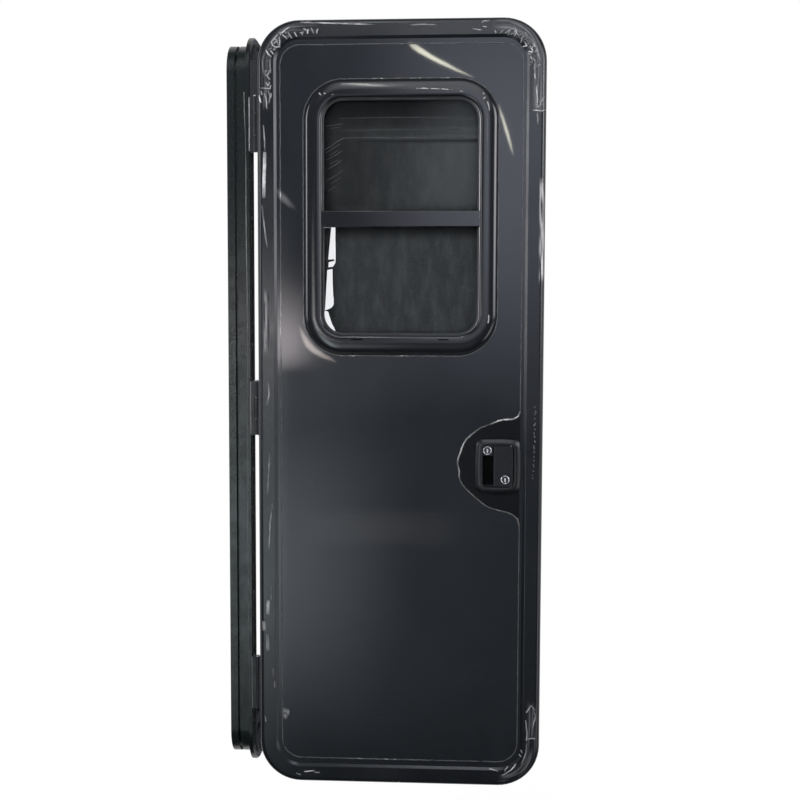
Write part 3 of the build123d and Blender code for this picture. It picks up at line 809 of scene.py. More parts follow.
bead_tree, given = shape_tree("edge_bead", {"Radius": 0.001, "Spacing": 0.004, "Wander": 0.0, "Thinnest": 1.0,
                                            "Ripple": 60.0, "Taper": 0.0, "Flat": 0.0})
line = flow(bead_tree, "GeometryNodeMeshToCurve", {"Mesh": given["Geometry"]})
spaced = {"Curve": line, "Length": given["Spacing"]}
line = flow(bead_tree, "GeometryNodeResampleCurve", spaced, mode="LENGTH")
spot = flow(bead_tree, "GeometryNodeInputPosition")
wave = node(bead_tree, "ShaderNodeTexNoise", {"Vector": spot, "Scale": given["Ripple"], "Detail": 2.0})
ways = {0: wave.outputs["Color"], 1: (0.5, 0.5, 0.5)}
centred = flow(bead_tree, "ShaderNodeVectorMath", ways, operation="SUBTRACT")
stray = flow(bead_tree, "ShaderNodeVectorMath", {0: centred, "Scale": given["Wander"]}, operation="SCALE")
line = moved(bead_tree, line, stray)
lifted = spread(bead_tree, cloudy(bead_tree, spot, 38.0, 3.0), given["Thinnest"], 1.0, 0.38, 0.62)
edge = recalled(bead_tree, "lift")
line = kept(bead_tree, line, "lift", value(bead_tree, "MULTIPLY", edge, lifted))
even = value(bead_tree, "SUBTRACT", 1.0, given["Taper"])
taper = value(bead_tree, "MULTIPLY_ADD", edge, given["Taper"], even)
thickness = value(bead_tree, "MULTIPLY", lifted, taper)
line = flow(bead_tree, "GeometryNodeSetCurveRadius", {"Curve": line, "Radius": thickness})
out = node(bead_tree, "ShaderNodeSeparateXYZ", {0: spot}).outputs["X"]
line = kept(bead_tree, line, "level", out)
ring = flow(bead_tree, "GeometryNodeCurvePrimitiveCircle", {"Resolution": 6, "Radius": given["Radius"]})
bead = flow(bead_tree, "GeometryNodeCurveToMesh", {"Curve": line, "Profile Curve": ring, "Fill Caps": True})
above = value(bead_tree, "SUBTRACT", recalled(bead_tree, "level"), out)
sink = value(bead_tree, "MULTIPLY", above, given["Flat"])
bead = moved(bead_tree, bead, flow(bead_tree, "ShaderNodeCombineXYZ", {"X": sink}))
bead = flow(bead_tree, "GeometryNodeSetShadeSmooth", {"Geometry": bead})
finish_tree(bead_tree, bead, given["Material"])


def line_mesh(name, lines):
    points, edges, lifts = [], [], []
    for line, closed, lift in lines:
        first = len(points)
        points += [tuple(point) for point in line]
        lifts += lift
        edges += [(first + i, first + i + 1) for i in range(len(line) - 1)]
        if closed:
            edges.append((len(points) - 1, first))
    mesh = bpy.data.meshes.new(name)
    mesh.from_pydata(points, edges, [])
    marks = mesh.attributes.new("lift", "FLOAT", "POINT")
    marks.data.foreach_set("value", lifts)
    return linked(name, mesh)


def grow(piece, tree, **inputs):
    modifier = piece.modifiers.new(tree.name, "NODES")
    modifier.node_group = tree
    for item in tree.interface.items_tree:
        if item.in_out == "INPUT" and item.name in inputs:
            modifier[item.identifier] = inputs[item.name]
    return settle(piece)


print("bead tree", len(bead_tree.nodes), "nodes")

# %% [markdown]
# ## Film edges
# Film curls up where it was cut or torn and shows as a thin white line: hardly seen along the trim and
# the window, apart from a few lifted spots, and bold round the latch, where it was ripped, most of all at
# the upper left of the tear. The finish goes from black to white with the lift that the beads carry; the
# white is partly the film's own whitening and partly a painted highlight. The same finish draws the other
# painted highlights that are beads.

# %% Film edges
film_edge_and_highlight, tree, shader = new_finish("film_edge_and_highlight")
lift = marked(tree, "lift")
# The white is partly the film's own whitening and partly a painted highlight on the curled edge.
fill(tree, shader, {"Base Color": blend_colours(tree, lift, (0.012, 0.013, 0.015), (0.72, 0.72, 0.74)),
                    "Roughness": spread(tree, lift, 0.3, 0.22, 0.0, 1.0)})
edge_out = panel_out + 0.0004
# Each place: across, up, how far it reaches, and how far the edge lifts there.
dotted_parts = (
    (0.085, 0.840, 0.05), (0.16, 0.840, 0.03), (-0.08, -0.8385, 0.03), (-0.03, -0.8385, 0.06),
    (-0.04, 0.762, 0.03), (0.07, 0.762, 0.05), (-0.12, 0.125, 0.03), (0.02, 0.125, 0.04),
)
bright_parts = (
    (-0.2795, 0.190, 0.045, 0.75), (-0.2795, 0.498, 0.007, 0.9), (-0.2795, 0.260, 0.030, 0.25),
)
tear_marks = (
    (0.1518, -0.0764, 0.012, 0.75), (0.1420, -0.1000, 0.020, 0.25), (0.2317, -0.0238, 0.008, 0.55),
    (0.2525, -0.0211, 0.007, 0.65), (0.2768, -0.0146, 0.010, 0.45), (0.2085, -0.0350, 0.0035, -0.6),
)


def nearness(across, up, place, reach):
    return math.exp(-((across - place[0]) ** 2 + (up - place[1]) ** 2) / reach ** 2)


def nearby(across, up, places):
    return sum(place[3] * nearness(across, up, place, place[2]) for place in places)


def edge_mark(across, up):
    dots = max(nearness(across, up, part, part[2]) for part in dotted_parts)
    ragged = ease(0.1, 0.5, noise.noise(Vector((across * 150, up * 150, 1.0))))
    return min(0.08 + nearby(across, up, bright_parts) + 0.6 * dots * ragged, 1.0)


def tear_mark(across, up):
    lift = 0.13 + 0.12 * ease(-0.20, -0.12, up) + nearby(across, up, tear_marks)
    ragged = 1.0 + 0.7 * noise.noise(Vector((across * 260, up * 260, 7.0)))
    return min(max(lift * ragged, 0.01), 1.0)


def divided(line, step=0.004):
    points = []
    for start, end in zip(line, line[1:]):
        start, end = Vector(start), Vector(end)
        parts = max(1, round((end - start).length / step))
        points += [tuple(start.lerp(end, part / parts)) for part in range(parts)]
    return points + [tuple(line[-1])]


def tapered(count, lift, start=1.0, power=0.5):
    whole = count + 2 * start - 1
    return [lift * math.sin(math.pi * (i + start) / whole) ** power for i in range(count)]


def film_beads(name, lines, radius, wander, thinnest, ripple, taper, body="leaf"):
    made = line_mesh(name, lines)
    grow(made, bead_tree, Radius=radius, Spacing=0.002, Wander=wander, Thinnest=thinnest, Ripple=ripple,
         Taper=taper, Flat=0.55, Material=film_edge_and_highlight)
    seat(made, body)


def film_line(line, closed, mark):
    return [on_leaf(*spot, edge_out) for spot in line], closed, [mark(*spot) for spot in line]


outer_rim = divided([tear_line[-1]] + edge_line + [tear_line[0]])
rim_lines = [film_line(outer_rim, False, edge_mark), film_line(divided(window_loop), True, edge_mark)]
film_beads("film_rims", rim_lines, 0.0013, 0.003, 0.5, 95.0, 0.7)
tear_lines = [film_line(divided(tear_line, 0.002), False, tear_mark)]
film_beads("film_tear", tear_lines, 0.0020, 0.0042, 0.3, 190.0, 0.9)

# %% [markdown]
# ## The trim's surface
# The lip, the creases and the loose film on the trim follow its section: round the nose, over the flat
# face and down the lip. One helper walks along the trim's outer edge, clockwise from the start of the
# top side, and two others give the point that lies some way in from that edge.

# %% Trim surface
leaf_corner = 0.099
nose = 0.012
face_out = leaf_back - trim_low.x
lip_start, lip_end, lip_drop = 0.0398, 0.0458, 0.0036
lip_cover = 0.0001
straight_across = 2 * (leaf_half_width - leaf_corner)
straight_up = 2 * (leaf_half_height - leaf_corner)
bend = math.pi / 2 * leaf_corner
loop_length = 2 * (straight_across + straight_up) + 4 * bend


def trim_edge(along):
    along = along % loop_length
    a, b = leaf_half_width - leaf_corner, leaf_half_height - leaf_corner
    legs = ((straight_across, (-a, b), 90), (straight_up, (a, b), 0), (straight_across, (a, -b), -90),
            (straight_up, (-a, -b), -180))
    for length, (across, up), facing in legs:
        out_angle = math.radians(facing)
        run = Vector((math.sin(out_angle), -math.cos(out_angle)))
        outward = Vector((math.cos(out_angle), math.sin(out_angle)))
        if along <= length:
            return Vector((across, up)) + run * along, outward
        along -= length
        if along <= bend:
            angle = out_angle - along / leaf_corner
            outward = Vector((math.cos(angle), math.sin(angle)))
            return Vector((across, up)) + run * length, outward
        along -= bend


def at_level(along, inset, level):
    centre, outward = trim_edge(along)
    spot = centre + outward * (leaf_corner - inset)
    return on_leaf(spot.x, spot.y, level)


def on_trim(along, inset, lift):
    if inset < nose:
        slope = math.acos(1 - inset / nose)
        reach = nose - (nose + lift) * math.cos(slope)
        return at_level(along, reach, face_out - nose + (nose + lift) * math.sin(slope))
    down = lip_drop * max(inset - lip_start, 0) / (lip_end - lip_start)
    return at_level(along, inset, face_out + lip_cover + lift - down)


print("trim loop", round(loop_length, 3), "m")

# %% [markdown]
# ## Lip of the trim
# A clip-in strip covers the joint between the trim and the skin and slopes down to the panel. It is a
# ring with the same few points all the way round, laid on the trim just outside the solid's own small
# lip.

# %% Trim lip
cover_out = face_out + lip_cover
lip_section = ((0.0335, face_out - 0.0004), (0.0342, cover_out), (lip_start - 0.0006, cover_out),
               (lip_start, cover_out - 0.00015), (lip_end, cover_out - lip_drop),
               (lip_end + 0.0002, panel_out))
lip_steps = 480
lip_points = [at_level(loop_length * step / lip_steps, inset, level)
              for inset, level in lip_section for step in range(lip_steps)]
lip_faces = grid_faces(len(lip_section), lip_steps, ring=True)
trim_lip = face_forwards(mesh_object("trim_lip", lip_points, lip_faces))
trim_lip.data.set_sharp_from_angle(angle=math.radians(9))
dress(trim_lip, finishes["trim_coat"], "leaf")

# %% [markdown]
# ## Creased film on the trim
# The trim's film is bent round the corners, where it has too much length on the inside and crumples into
# folds that run across the trim, white partly from the film's whitening and partly from painted highlight.
# Single folds, curls and flecks lie along the straight sides, with one long painted highlight along the top
# side's nose. Each is a line on the trim's surface, swept by the bead tree, thin at its ends: first how far
# it lifts, then points by how far they lie along the trim and how far in from its edge. Only the small
# flecks beside the latch and the finest corner creases are drawn by chance, from a fixed seed. Blisters,
# where the film stands off as a bubble, are the same with fatter beads.

# %% Creased film
fold_lift = 0.0002
upper_hinge_corner = [
    (0.8, (0.045, 0.0228), (0.041, 0.0340)), (0.6, (0.029, 0.0215), (0.035, 0.0340)),
    (0.8, (0.022, 0.0237), (0.020, 0.0349)), (0.55, (0.011, 0.0224), (0.019, 0.0282)),
    (0.5, (0.003, 0.0325), (0.012, 0.0303)), (0.5, (0.007, 0.0303), (0.009, 0.0375)),
    (0.6, (4.743, 0.0292), (4.751, 0.0403)), (0.7, (4.723, 0.0252), (4.730, 0.0415)),
    (0.6, (4.705, 0.0252), (4.712, 0.0397)), (0.75, (4.733, 0.0159), (4.714, 0.0199), (4.698, 0.0229)),
    (0.9, (4.696, 0.0191), (4.681, 0.0207), (4.666, 0.0204), (4.660, 0.0262), (4.660, 0.0359),
     (4.670, 0.0411), (4.684, 0.0352), (4.693, 0.0256)),
    (0.7, (4.666, 0.0278), (4.676, 0.0278), (4.677, 0.0351)),
    (1.0, (4.639, 0.0178), (4.630, 0.0250), (4.623, 0.0345)), (0.6, (4.642, 0.0279), (4.634, 0.0380)),
    (0.15, (4.630, 0.0166), (4.605, 0.0149), (4.591, 0.0155), (4.571, 0.0194)),
    (0.3, (4.622, 0.0327), (4.595, 0.0323), (4.579, 0.0341)),
    (0.5, (4.582, 0.0206), (4.573, 0.0229), (4.577, 0.0275), (4.586, 0.0322)),
    (0.4, (4.573, 0.0252), (4.564, 0.0321)), (0.5, (4.559, 0.0228), (4.550, 0.0274), (4.559, 0.0321)),
    (0.6, (4.545, 0.0074), (4.545, 0.0204), (4.544, 0.0320), (4.552, 0.0344)),
    (1.0, (4.530, 0.0073), (4.521, 0.0080), (4.512, 0.0109)), (0.6, (4.539, 0.0111), (4.530, 0.0133)),
    (0.7, (4.534, 0.0180), (4.523, 0.0226), (4.511, 0.0237), (4.498, 0.0248)),
    (0.6, (4.534, 0.0343), (4.523, 0.0343)), (0.4, (4.541, 0.0274), (4.527, 0.0320), (4.511, 0.0296)),
]
upper_lock_corner = [
    (0.45, (0.418, 0.0151), (0.424, 0.0107), (0.438, 0.0098)), (0.45, (0.422, 0.0230), (0.431, 0.0242)),
    (0.45, (0.397, 0.0278), (0.420, 0.0308)), (0.5, (0.449, 0.0311), (0.452, 0.0380)),
    (0.5, (0.462, 0.0375), (0.468, 0.0314)), (0.65, (0.474, 0.0395), (0.489, 0.0302), (0.500, 0.0248)),
    (0.7, (0.503, 0.0231), (0.513, 0.0322), (0.510, 0.0406)), (0.6, (0.516, 0.0337), (0.529, 0.0342)),
    (0.7, (0.521, 0.0306), (0.540, 0.0296), (0.546, 0.0212), (0.553, 0.0320)),
    (0.7, (0.547, 0.0439), (0.538, 0.0350), (0.542, 0.0273)),
    (0.8, (0.563, 0.0470), (0.572, 0.0377), (0.554, 0.0371)),
    (0.8, (0.564, 0.0264), (0.580, 0.0232), (0.588, 0.0208)), (0.8, (0.577, 0.0322), (0.596, 0.0301)),
    (0.8, (0.593, 0.0410), (0.599, 0.0307)), (0.6, (0.610, 0.0380), (0.626, 0.0351)),
    (0.6, (0.616, 0.0326), (0.630, 0.0282)), (0.5, (0.632, 0.0372), (0.626, 0.0328)),
    (0.5, (0.588, 0.0208), (0.603, 0.0197), (0.617, 0.0191), (0.630, 0.0147)),
    (0.75, (0.630, 0.0260), (0.641, 0.0293), (0.659, 0.0268)), (0.7, (0.652, 0.0291), (0.668, 0.0267)),
    (0.7, (0.679, 0.0209), (0.688, 0.0242), (0.706, 0.0229), (0.715, 0.0216), (0.735, 0.0226)),
    (0.7, (0.708, 0.0069), (0.720, 0.0137), (0.729, 0.0147)), (0.5, (0.733, 0.0203), (0.722, 0.0136)),
    (0.8, (0.738, 0.0327), (0.739, 0.0225), (0.740, 0.0112), (0.737, 0.0041)),
    (0.4, (0.742, 0.0213), (0.771, 0.0199)),
]
lower_corners = [
    (0.55, (2.141, 0.0327), (2.128, 0.0235), (2.122, 0.0200)), (0.5, (2.125, 0.0188), (2.136, 0.0116)),
    (0.35, (2.134, 0.0163), (2.149, 0.0103), (2.163, 0.0137), (2.185, 0.0181), (2.199, 0.0192)),
    (0.9, (2.159, 0.0337), (2.178, 0.0312), (2.195, 0.0298), (2.209, 0.0308)),
    (0.45, (2.205, 0.0297), (2.203, 0.0203), (2.203, 0.0097)),
    (0.3, (2.214, 0.0308), (2.242, 0.0306), (2.272, 0.0306), (2.290, 0.0277)),
    (0.5, (2.259, 0.0445), (2.265, 0.0381)), (0.4, (2.240, 0.0437), (2.248, 0.0380)),
    (0.7, (2.297, 0.0389), (2.318, 0.0351), (2.341, 0.0319), (2.364, 0.0271)),
    (0.8, (2.332, 0.0440), (2.348, 0.0389), (2.352, 0.0343)),
    (0.75, (2.399, 0.0429), (2.387, 0.0408), (2.376, 0.0379)),
    (0.6, (2.841, 0.0258), (2.827, 0.0274), (2.816, 0.0289)), (0.35, (2.864, 0.0207), (2.849, 0.0182)),
    (0.3, (2.817, 0.0251), (2.803, 0.0243)),
]
straight_sides_and_highlight = [
    # The first line is a painted highlight along the top side's nose.
    (0.7, (0.003, 0.0083), (0.072, 0.0113), (0.123, 0.0137), (0.176, 0.0161)),
    (0.45, (4.461, 0.0165), (4.427, 0.0187), (4.404, 0.0197)),
    (0.4, (4.278, 0.0120), (4.225, 0.0176), (4.181, 0.0233)),
    (0.5, (4.075, 0.0185), (4.020, 0.0205), (3.955, 0.0195)),
    (0.45, (3.871, 0.0253), (3.836, 0.0264), (3.812, 0.0215)),
    (0.4, (3.701, 0.0281), (3.635, 0.0237), (3.597, 0.0216)),
    (0.45, (3.582, 0.0340), (3.527, 0.0273), (3.468, 0.0246)), (0.25, (3.384, 0.0314), (3.347, 0.0288)),
    (0.25, (3.068, 0.0131), (3.051, 0.0154)), (0.25, (3.183, 0.0329), (3.158, 0.0340)),
    (0.25, (3.153, 0.0362), (3.134, 0.0373)), (0.4, (0.255, 0.0180), (0.290, 0.0165), (0.320, 0.0190)),
]
blisters = [
    (0.9, (4.400, 0.0192), (4.370, 0.0184), (4.336, 0.0170), (4.294, 0.0168)),
    (0.45, (3.349, 0.0228), (3.330, 0.0216), (3.313, 0.0215)), (0.3, (3.296, 0.0118), (3.273, 0.0129)),
    (0.3, (3.267, 0.0200), (3.224, 0.0211)),
]
chance = random.Random(40)
flecks = []
for index in range(20):
    along = 1.412 + 0.0088 * (index + chance.uniform(0.0, 0.6))
    inset = 0.0185 + 0.0002 * index + chance.uniform(-0.0012, 0.0012)
    lift = chance.uniform(0.06, 0.22)
    end = (along + chance.uniform(0.003, 0.007), inset + chance.uniform(-0.001, 0.001))
    flecks.append((lift, (along, inset), end))
hatches = []
for first, last, count in ((0.487, 0.645, 36), (4.565, 4.735, 16)):
    for index in range(count):
        along, inset = chance.uniform(first, last), chance.uniform(0.016, 0.036)
        lift = chance.uniform(0.15, 0.55)
        end = (along + chance.uniform(-0.008, 0.008), inset + chance.uniform(0.004, 0.009))
        hatches.append((lift, (along, inset), end))


def creases(tracks):
    lines = []
    for lift, *track in tracks:
        line = divided(track, 0.0018)
        places = [on_trim(*spot, fold_lift) for spot in line]
        lines.append((places, False, tapered(len(line), lift, 0.7, 0.6)))
    return lines


# The folds' white is partly painted highlight; the nose line is painted highlight alone.
folds = upper_hinge_corner + upper_lock_corner + lower_corners + straight_sides_and_highlight + flecks + hatches
film_beads("film_folds_and_highlight", creases(folds), 0.0017, 0.0028, 0.3, 230.0, 0.8)
film_beads("film_blisters", creases(blisters), 0.0044, 0.002, 0.5, 90.0, 0.6)

# %% [markdown]
# ## Window roll
# The window's outer frame is one moulding with a soft rolled face. The solid has it as two slopes, so a
# finer ring replaces it: the section is a short list of points, made smooth and carried round the
# opening's rounded outline. Two drain slots are cut through its lower side with a boolean, as a mould
# would leave them, and a black block on each slot's floor is painted shadow.

# %% Window roll
opening_across = (ring_left + ring_right) / 2
opening_up = (ring_foot + ring_top) / 2
ring_width = 0.039
opening_half_width = (ring_right - ring_left) / 2 - ring_width
opening_half_height = (ring_top - ring_foot) / 2 - ring_width
opening_corner = ring_corner - ring_width
ring_face_out = leaf_back - ring_low.x
neck_out = leaf_back - ring_high.x


def opening(margin, steps=20):
    return rounded(opening_across - opening_half_width - margin, opening_across + opening_half_width + margin,
                   opening_up - opening_half_height - margin, opening_up + opening_half_height + margin,
                   opening_corner + margin, steps)


# Margins from the opening with the height over the panel, then with the depth under the roll's face.
rising = ((ring_width, 0.0010), (0.0384, 0.0024), (0.0365, 0.0037), (0.0330, 0.0053), (0.0280, 0.0067),
          (0.0225, 0.0076))
falling = ((0.0175, 0.0), (0.0120, 0.0), (0.0075, 0.0002), (0.0047, 0.0008), (0.0026, 0.0019),
           (0.0010, 0.0035), (0.0002, 0.0053), (0.0, 0.0075))
roll_face = [(margin, panel_out + rise) for margin, rise in rising]
roll_face += [(margin, ring_face_out - drop) for margin, drop in falling]
roll_section = [(0.004, neck_out), (0.004, panel_out), (ring_width, panel_out)]
roll_section += smooth_line(roll_face, 4) + [(0.0, neck_out)]
points = [on_leaf(*spot, level) for margin, level in roll_section for spot in opening(margin)]
faces = grid_faces(len(roll_section), len(opening(0.0)), ring=True, loop=True)
window_roll = face_outwards(mesh_object("window_roll", points, faces))

slot_half, slot_half_height, slot_drop, slot_pitch = 0.013, 0.0016, 0.010, 0.202
slot_deep, slot_proud = 0.005, 0.002
slot_up = opening_up - opening_half_height - slot_drop
floor_reach = Vector((0, slot_half - 0.0008, slot_half_height * 0.8))
floor_thick = Vector((0.0012, 0, 0))
cutters = []
for side in (-1, 1):
    middle = side * slot_pitch / 2
    loop = rounded(middle - slot_half, middle + slot_half, slot_up - slot_half_height,
                   slot_up + slot_half_height, slot_half_height * 0.98, 4)
    count = len(loop)
    levels = (ring_face_out - slot_deep, ring_face_out + slot_proud)
    ends = [on_leaf(*spot, out) for out in levels for spot in loop]
    lids = [tuple(range(count - 1, -1, -1)), tuple(range(count, 2 * count))]
    walls = grid_faces(2, count, ring=True)
    cutters.append(face_outwards(mesh_object("slot_cutter", ends, walls + lids, smooth=False)))
    cut = window_roll.modifiers.new("slot", "BOOLEAN")
    cut.object = cutters[-1]
    cut.solver = "EXACT"
settle(window_roll)
for cutter in cutters:
    bpy.data.objects.remove(cutter)
# A black block on each slot's floor is painted shadow.
for side, label in ((-1, "hinge"), (1, "lock")):
    slot_floor = on_leaf(side * slot_pitch / 2, slot_up, ring_face_out - slot_deep + 0.0001)
    shadow = block(f"slot_shadow_{label}_side", slot_floor - floor_thick - floor_reach,
                   slot_floor + floor_reach)
    dress(shadow, finishes["painted_shadow_black"], "leaf")
window_roll.data.materials.clear()
window_roll.data.set_sharp_from_angle(angle=math.radians(50))
dress(window_roll, finishes["window_plastic"], "leaf")
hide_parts("window_outer_frame")

# %% [markdown]
# ## Glazing gaskets
# Each pane is bedded in a rubber bead. The upper pane sits further out than the lower one, so each gets
# a bead of its own at its own depth, which ends at the meeting rail. A thin bead round the opening carries
# a painted highlight, brightest on both sides.

# %% Gaskets
gasket_radius, gasket_margin, gasket_out = 0.003, 0.0025, 0.0012
rail_low, rail_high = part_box("meeting_rail")
rail_foot, rail_top = rail_low.z - leaf_level, rail_high.z - leaf_level
bead_loop = opening(-gasket_margin)
rail_end = opening_half_width - gasket_margin
upper_line = [(rail_end, rail_top)] + [p for p in bead_loop if p[1] > rail_top] + [(-rail_end, rail_top)]
lower_line = [(-rail_end, rail_foot)] + [p for p in bead_loop if p[1] < rail_foot] + [(rail_end, rail_foot)]
gasket_lines = []
for pane, line, lift in (("upper_pane", upper_line, 1.0), ("lower_pane", lower_line, 0.7)):
    pane_front = leaf_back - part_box(pane)[0].x
    gasket_lines.append(([on_leaf(*p, pane_front + gasket_out) for p in line], False, [lift] * len(line)))
gaskets = line_mesh("pane_gaskets", gasket_lines)
grow(gaskets, bead_tree, Radius=gasket_radius, Spacing=0.006, Wander=0.0, Thinnest=1.0, Ripple=50.0,
     Taper=1.0, Material=finishes["gasket_rubber"])
seat(gaskets, "leaf")


# Painted highlight on the opening's inner edge, brightest on the lock side and the upper hinge side.
def rim_highlight_mark(across, up):
    hinge_side = 0.30 * ease(-0.165, -0.178, across) * ease(0.43, 0.50, up) * ease(0.715, 0.66, up)
    lock_side = 0.45 + 0.45 * ease(0.33, 0.45, up)
    lock_side = lock_side * ease(0.145, 0.172, across) * ease(0.165, 0.20, up) * ease(0.72, 0.66, up)
    return 0.02 + max(hinge_side, lock_side)


rim_loop = opening(0.0001)
rim = divided(rim_loop + rim_loop[:1])[:-1]
rim_highlight_line = ([on_leaf(*spot, ring_face_out - 0.0058) for spot in rim], True, [rim_highlight_mark(*spot) for spot in rim])
film_beads("opening_rim_highlight", [rim_highlight_line], 0.0012, 0.0, 1.0, 50.0, 0.0)

# %% [markdown]
# ## Insect screen
# The screen is a cloth stretched over the opening. It has come out of its groove on the lower hinge
# side, where a bright gap shows, and it is folded into level pleats near the top. A plain solid can't
# show that, so a sheet with real folds replaces it. Marked for the finish are a painted highlight on its
# pleats, a painted reflection on its lock side above the rail, and painted shade under the frame, in a
# crease, at the torn edge, along the hinge side and under the rail.

# %% Insect screen
screen_low, screen_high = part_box("insect_screen")
screen_out = leaf_back - (screen_low.x + screen_high.x) / 2
screen_margin = 0.0018
step_level = (rail_foot + rail_top) / 2
torn_line = (
    (-0.1530, step_level), (-0.1535, 0.400), (-0.1528, 0.349), (-0.1575, 0.336), (-0.1600, 0.326),
    (-0.1592, 0.280), (-0.1585, 0.243), (-0.1780, 0.231), (-0.1710, 0.2285), (-0.1668, 0.216),
    (-0.1618, 0.201), (-0.1545, 0.186), (-0.1500, 0.168),
)
torn_edge = smooth_line(torn_line, 6)
frayed = [(across + 0.0006 * noise.noise(Vector((up * 160, 3.0, 0.0))), up) for across, up in torn_edge]
cloth_loop = opening(screen_margin)
upper_part = [p for p in cloth_loop if p[1] > step_level]
lower_part = [p for p in cloth_loop if p[1] <= step_level and p[0] > torn_line[-1][0] + 0.002]
cloth_loop = upper_part + [(-opening_half_width - screen_margin, step_level)] + frayed + lower_part
pleat_levels = (0.676, 0.650, 0.6315)
pleat_width = 0.0045
crease_level = 0.6236


def pleat(across, up):
    slack = 0.003 * noise.noise(Vector((across * 12, up * 20, 8.0)))
    level = sum(math.exp(-((up - at + slack) / pleat_width) ** 2) for at in pleat_levels)
    return 0.35 * level * (0.35 + 0.65 * ease(-0.14, -0.08, across))


def above_rail(up):
    return ease(rail_top, rail_top + 0.02, up)


# Painted light: a painted highlight on the pleats' ridges and a painted reflection that lightens the lock
# side above the rail.
def painted_light_mark(across, up):
    painted_reflection_zone = 0.5 * ease(-0.06, 0.16, across) * above_rail(up)
    return min(pleat(across, up) + painted_reflection_zone, 1.0)


def screen_lift(across, up):
    return screen_out + 0.0004 * noise.noise(Vector((across * 8, up * 6, 4.0))) + 0.0018 * pleat(across, up)


# Painted shade: under the frame, in a crease, at the torn edge, along the hinge side and under the rail.
def screen_shade(across, up):
    under_frame = 0.86 * ease(0.60, 0.70, up) * (1 - 0.5 * ease(0.0, 0.16, across))
    crease_shade = 0.75 * math.exp(-((up - crease_level) / pleat_width) ** 2) * ease(-0.15, -0.08, across)
    at_edge = 0.75 * ease(-0.125, -0.178, across)
    hinge_side = 0.5 * ease(0.08, -0.15, across) * above_rail(up)
    under_rail = 0.8 * ease(rail_foot - 0.035, rail_foot, up) * ease(rail_top, rail_foot, up)
    return min(max(under_frame, crease_shade, at_edge, hinge_side, under_rail), 1.0)


def mark_points(piece, label, marks):
    layer = piece.data.attributes.new(label, "FLOAT", "POINT")
    layer.data.foreach_set("value", marks)


screen = filled_sheet((cloth_loop,), 0.004)
flat_area = sum(face.calc_area() for face in screen.faces)
spots = [(vert.co.x, vert.co.y) for vert in screen.verts]
screen_cloth = sheet_object("screen_cloth", screen, screen_lift)
mark_points(screen_cloth, "pleat_highlight_and_reflection", [painted_light_mark(*spot) for spot in spots])
mark_points(screen_cloth, "shade", [screen_shade(*spot) for spot in spots])
dress(screen_cloth, finishes["screen_mesh"], "leaf")
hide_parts("insect_screen")
print("screen", round(flat_area, 3), "square metres")

# %% [markdown]
# ## Loose screen guide
# Beside the gap hangs the guide that held the screen: a thin dark strip that leans away from the frame
# towards the top, with two scraps of cloth still across the gap. It is one outline filled and given a
# thickness.

# %% Screen guide
guide_out, guide_thickness = screen_out + 0.0022, 0.0009
guide_loop = (
    (-0.1826, 0.424), (-0.1630, 0.424), (-0.1700, 0.350), (-0.1560, 0.351), (-0.1555, 0.347),
    (-0.1690, 0.344), (-0.1695, 0.332), (-0.1560, 0.334), (-0.1560, 0.329), (-0.1722, 0.326),
    (-0.1772, 0.240), (-0.1788, 0.226), (-0.1826, 0.218),
)
guide = sheet_object("screen_guide", filled_sheet((guide_loop,), 0.02), lambda across, up: guide_out)
thick = guide.modifiers.new("thick", "SOLIDIFY")
thick.thickness = guide_thickness
thick.offset = -1.0
settle(guide)
dress(guide, finishes["seal_rubber"], "leaf")

# %% [markdown]
# ## Screws
# Pan-head screws hold the frame to the wall, the hinges, the inner window frame, the inside latch and
# the strike. They are all alike, so Geometry Nodes place them: each point of a small mesh carries the
# way its head faces, and the head is grown in the tree from a disc, with a sunk drive in its middle.

# %% Screw tree
screw_tree, given = shape_tree("pan_head_screws", {"Head Radius": 0.004, "Head Height": 0.0016})
head = flow(screw_tree, "GeometryNodeMeshCircle", {"Vertices": 16, "Radius": 1.0}, fill_type="NGON")
picked = {}
for rise, scale in ((0.55, 0.94), (0.3, 0.72), (0.0, 0.62), (-0.45, 0.9)):
    rising = {"Mesh": head, "Offset Scale": rise, **picked}
    raised = node(screw_tree, "GeometryNodeExtrudeMesh", rising, mode="FACES")
    picked = {"Selection": raised.outputs["Top"]}
    shrinking = {"Geometry": raised.outputs["Mesh"], "Scale": scale, **picked}
    head = flow(screw_tree, "GeometryNodeScaleElements", shrinking, domain="FACE")
size = flow(screw_tree, "ShaderNodeCombineXYZ",
            {"X": given["Head Radius"], "Y": given["Head Radius"], "Z": given["Head Height"]})
facing = recalled(screw_tree, "facing", "FLOAT_VECTOR")
aim = flow(screw_tree, "FunctionNodeAlignRotationToVector", {"Vector": facing}, axis="Z")
heads = flow(screw_tree, "GeometryNodeInstanceOnPoints",
             {"Points": given["Geometry"], "Instance": head, "Rotation": aim, "Scale": size})
finish_tree(screw_tree, heads, given["Material"])


def screws(name, body, way, places, radius, height):
    mesh = bpy.data.meshes.new(name)
    mesh.from_pydata([tuple(place) for place in places], [], [])
    ways = mesh.attributes.new("facing", "FLOAT_VECTOR", "POINT")
    ways.data.foreach_set("vector", way * len(places))
    made = linked(name, mesh)
    sizes = {"Head Radius": radius, "Head Height": height}
    grow(made, screw_tree, Material=finishes["screw_black"], **sizes)
    seat(made, body)


print("screw tree", len(screw_tree.nodes), "nodes")

# %% [markdown]
# ## Where the screws sit
# The solids' boxes give the faces that the heads lie on. Each row below is the screws' way out, their
# places, and the radius and height of the head.

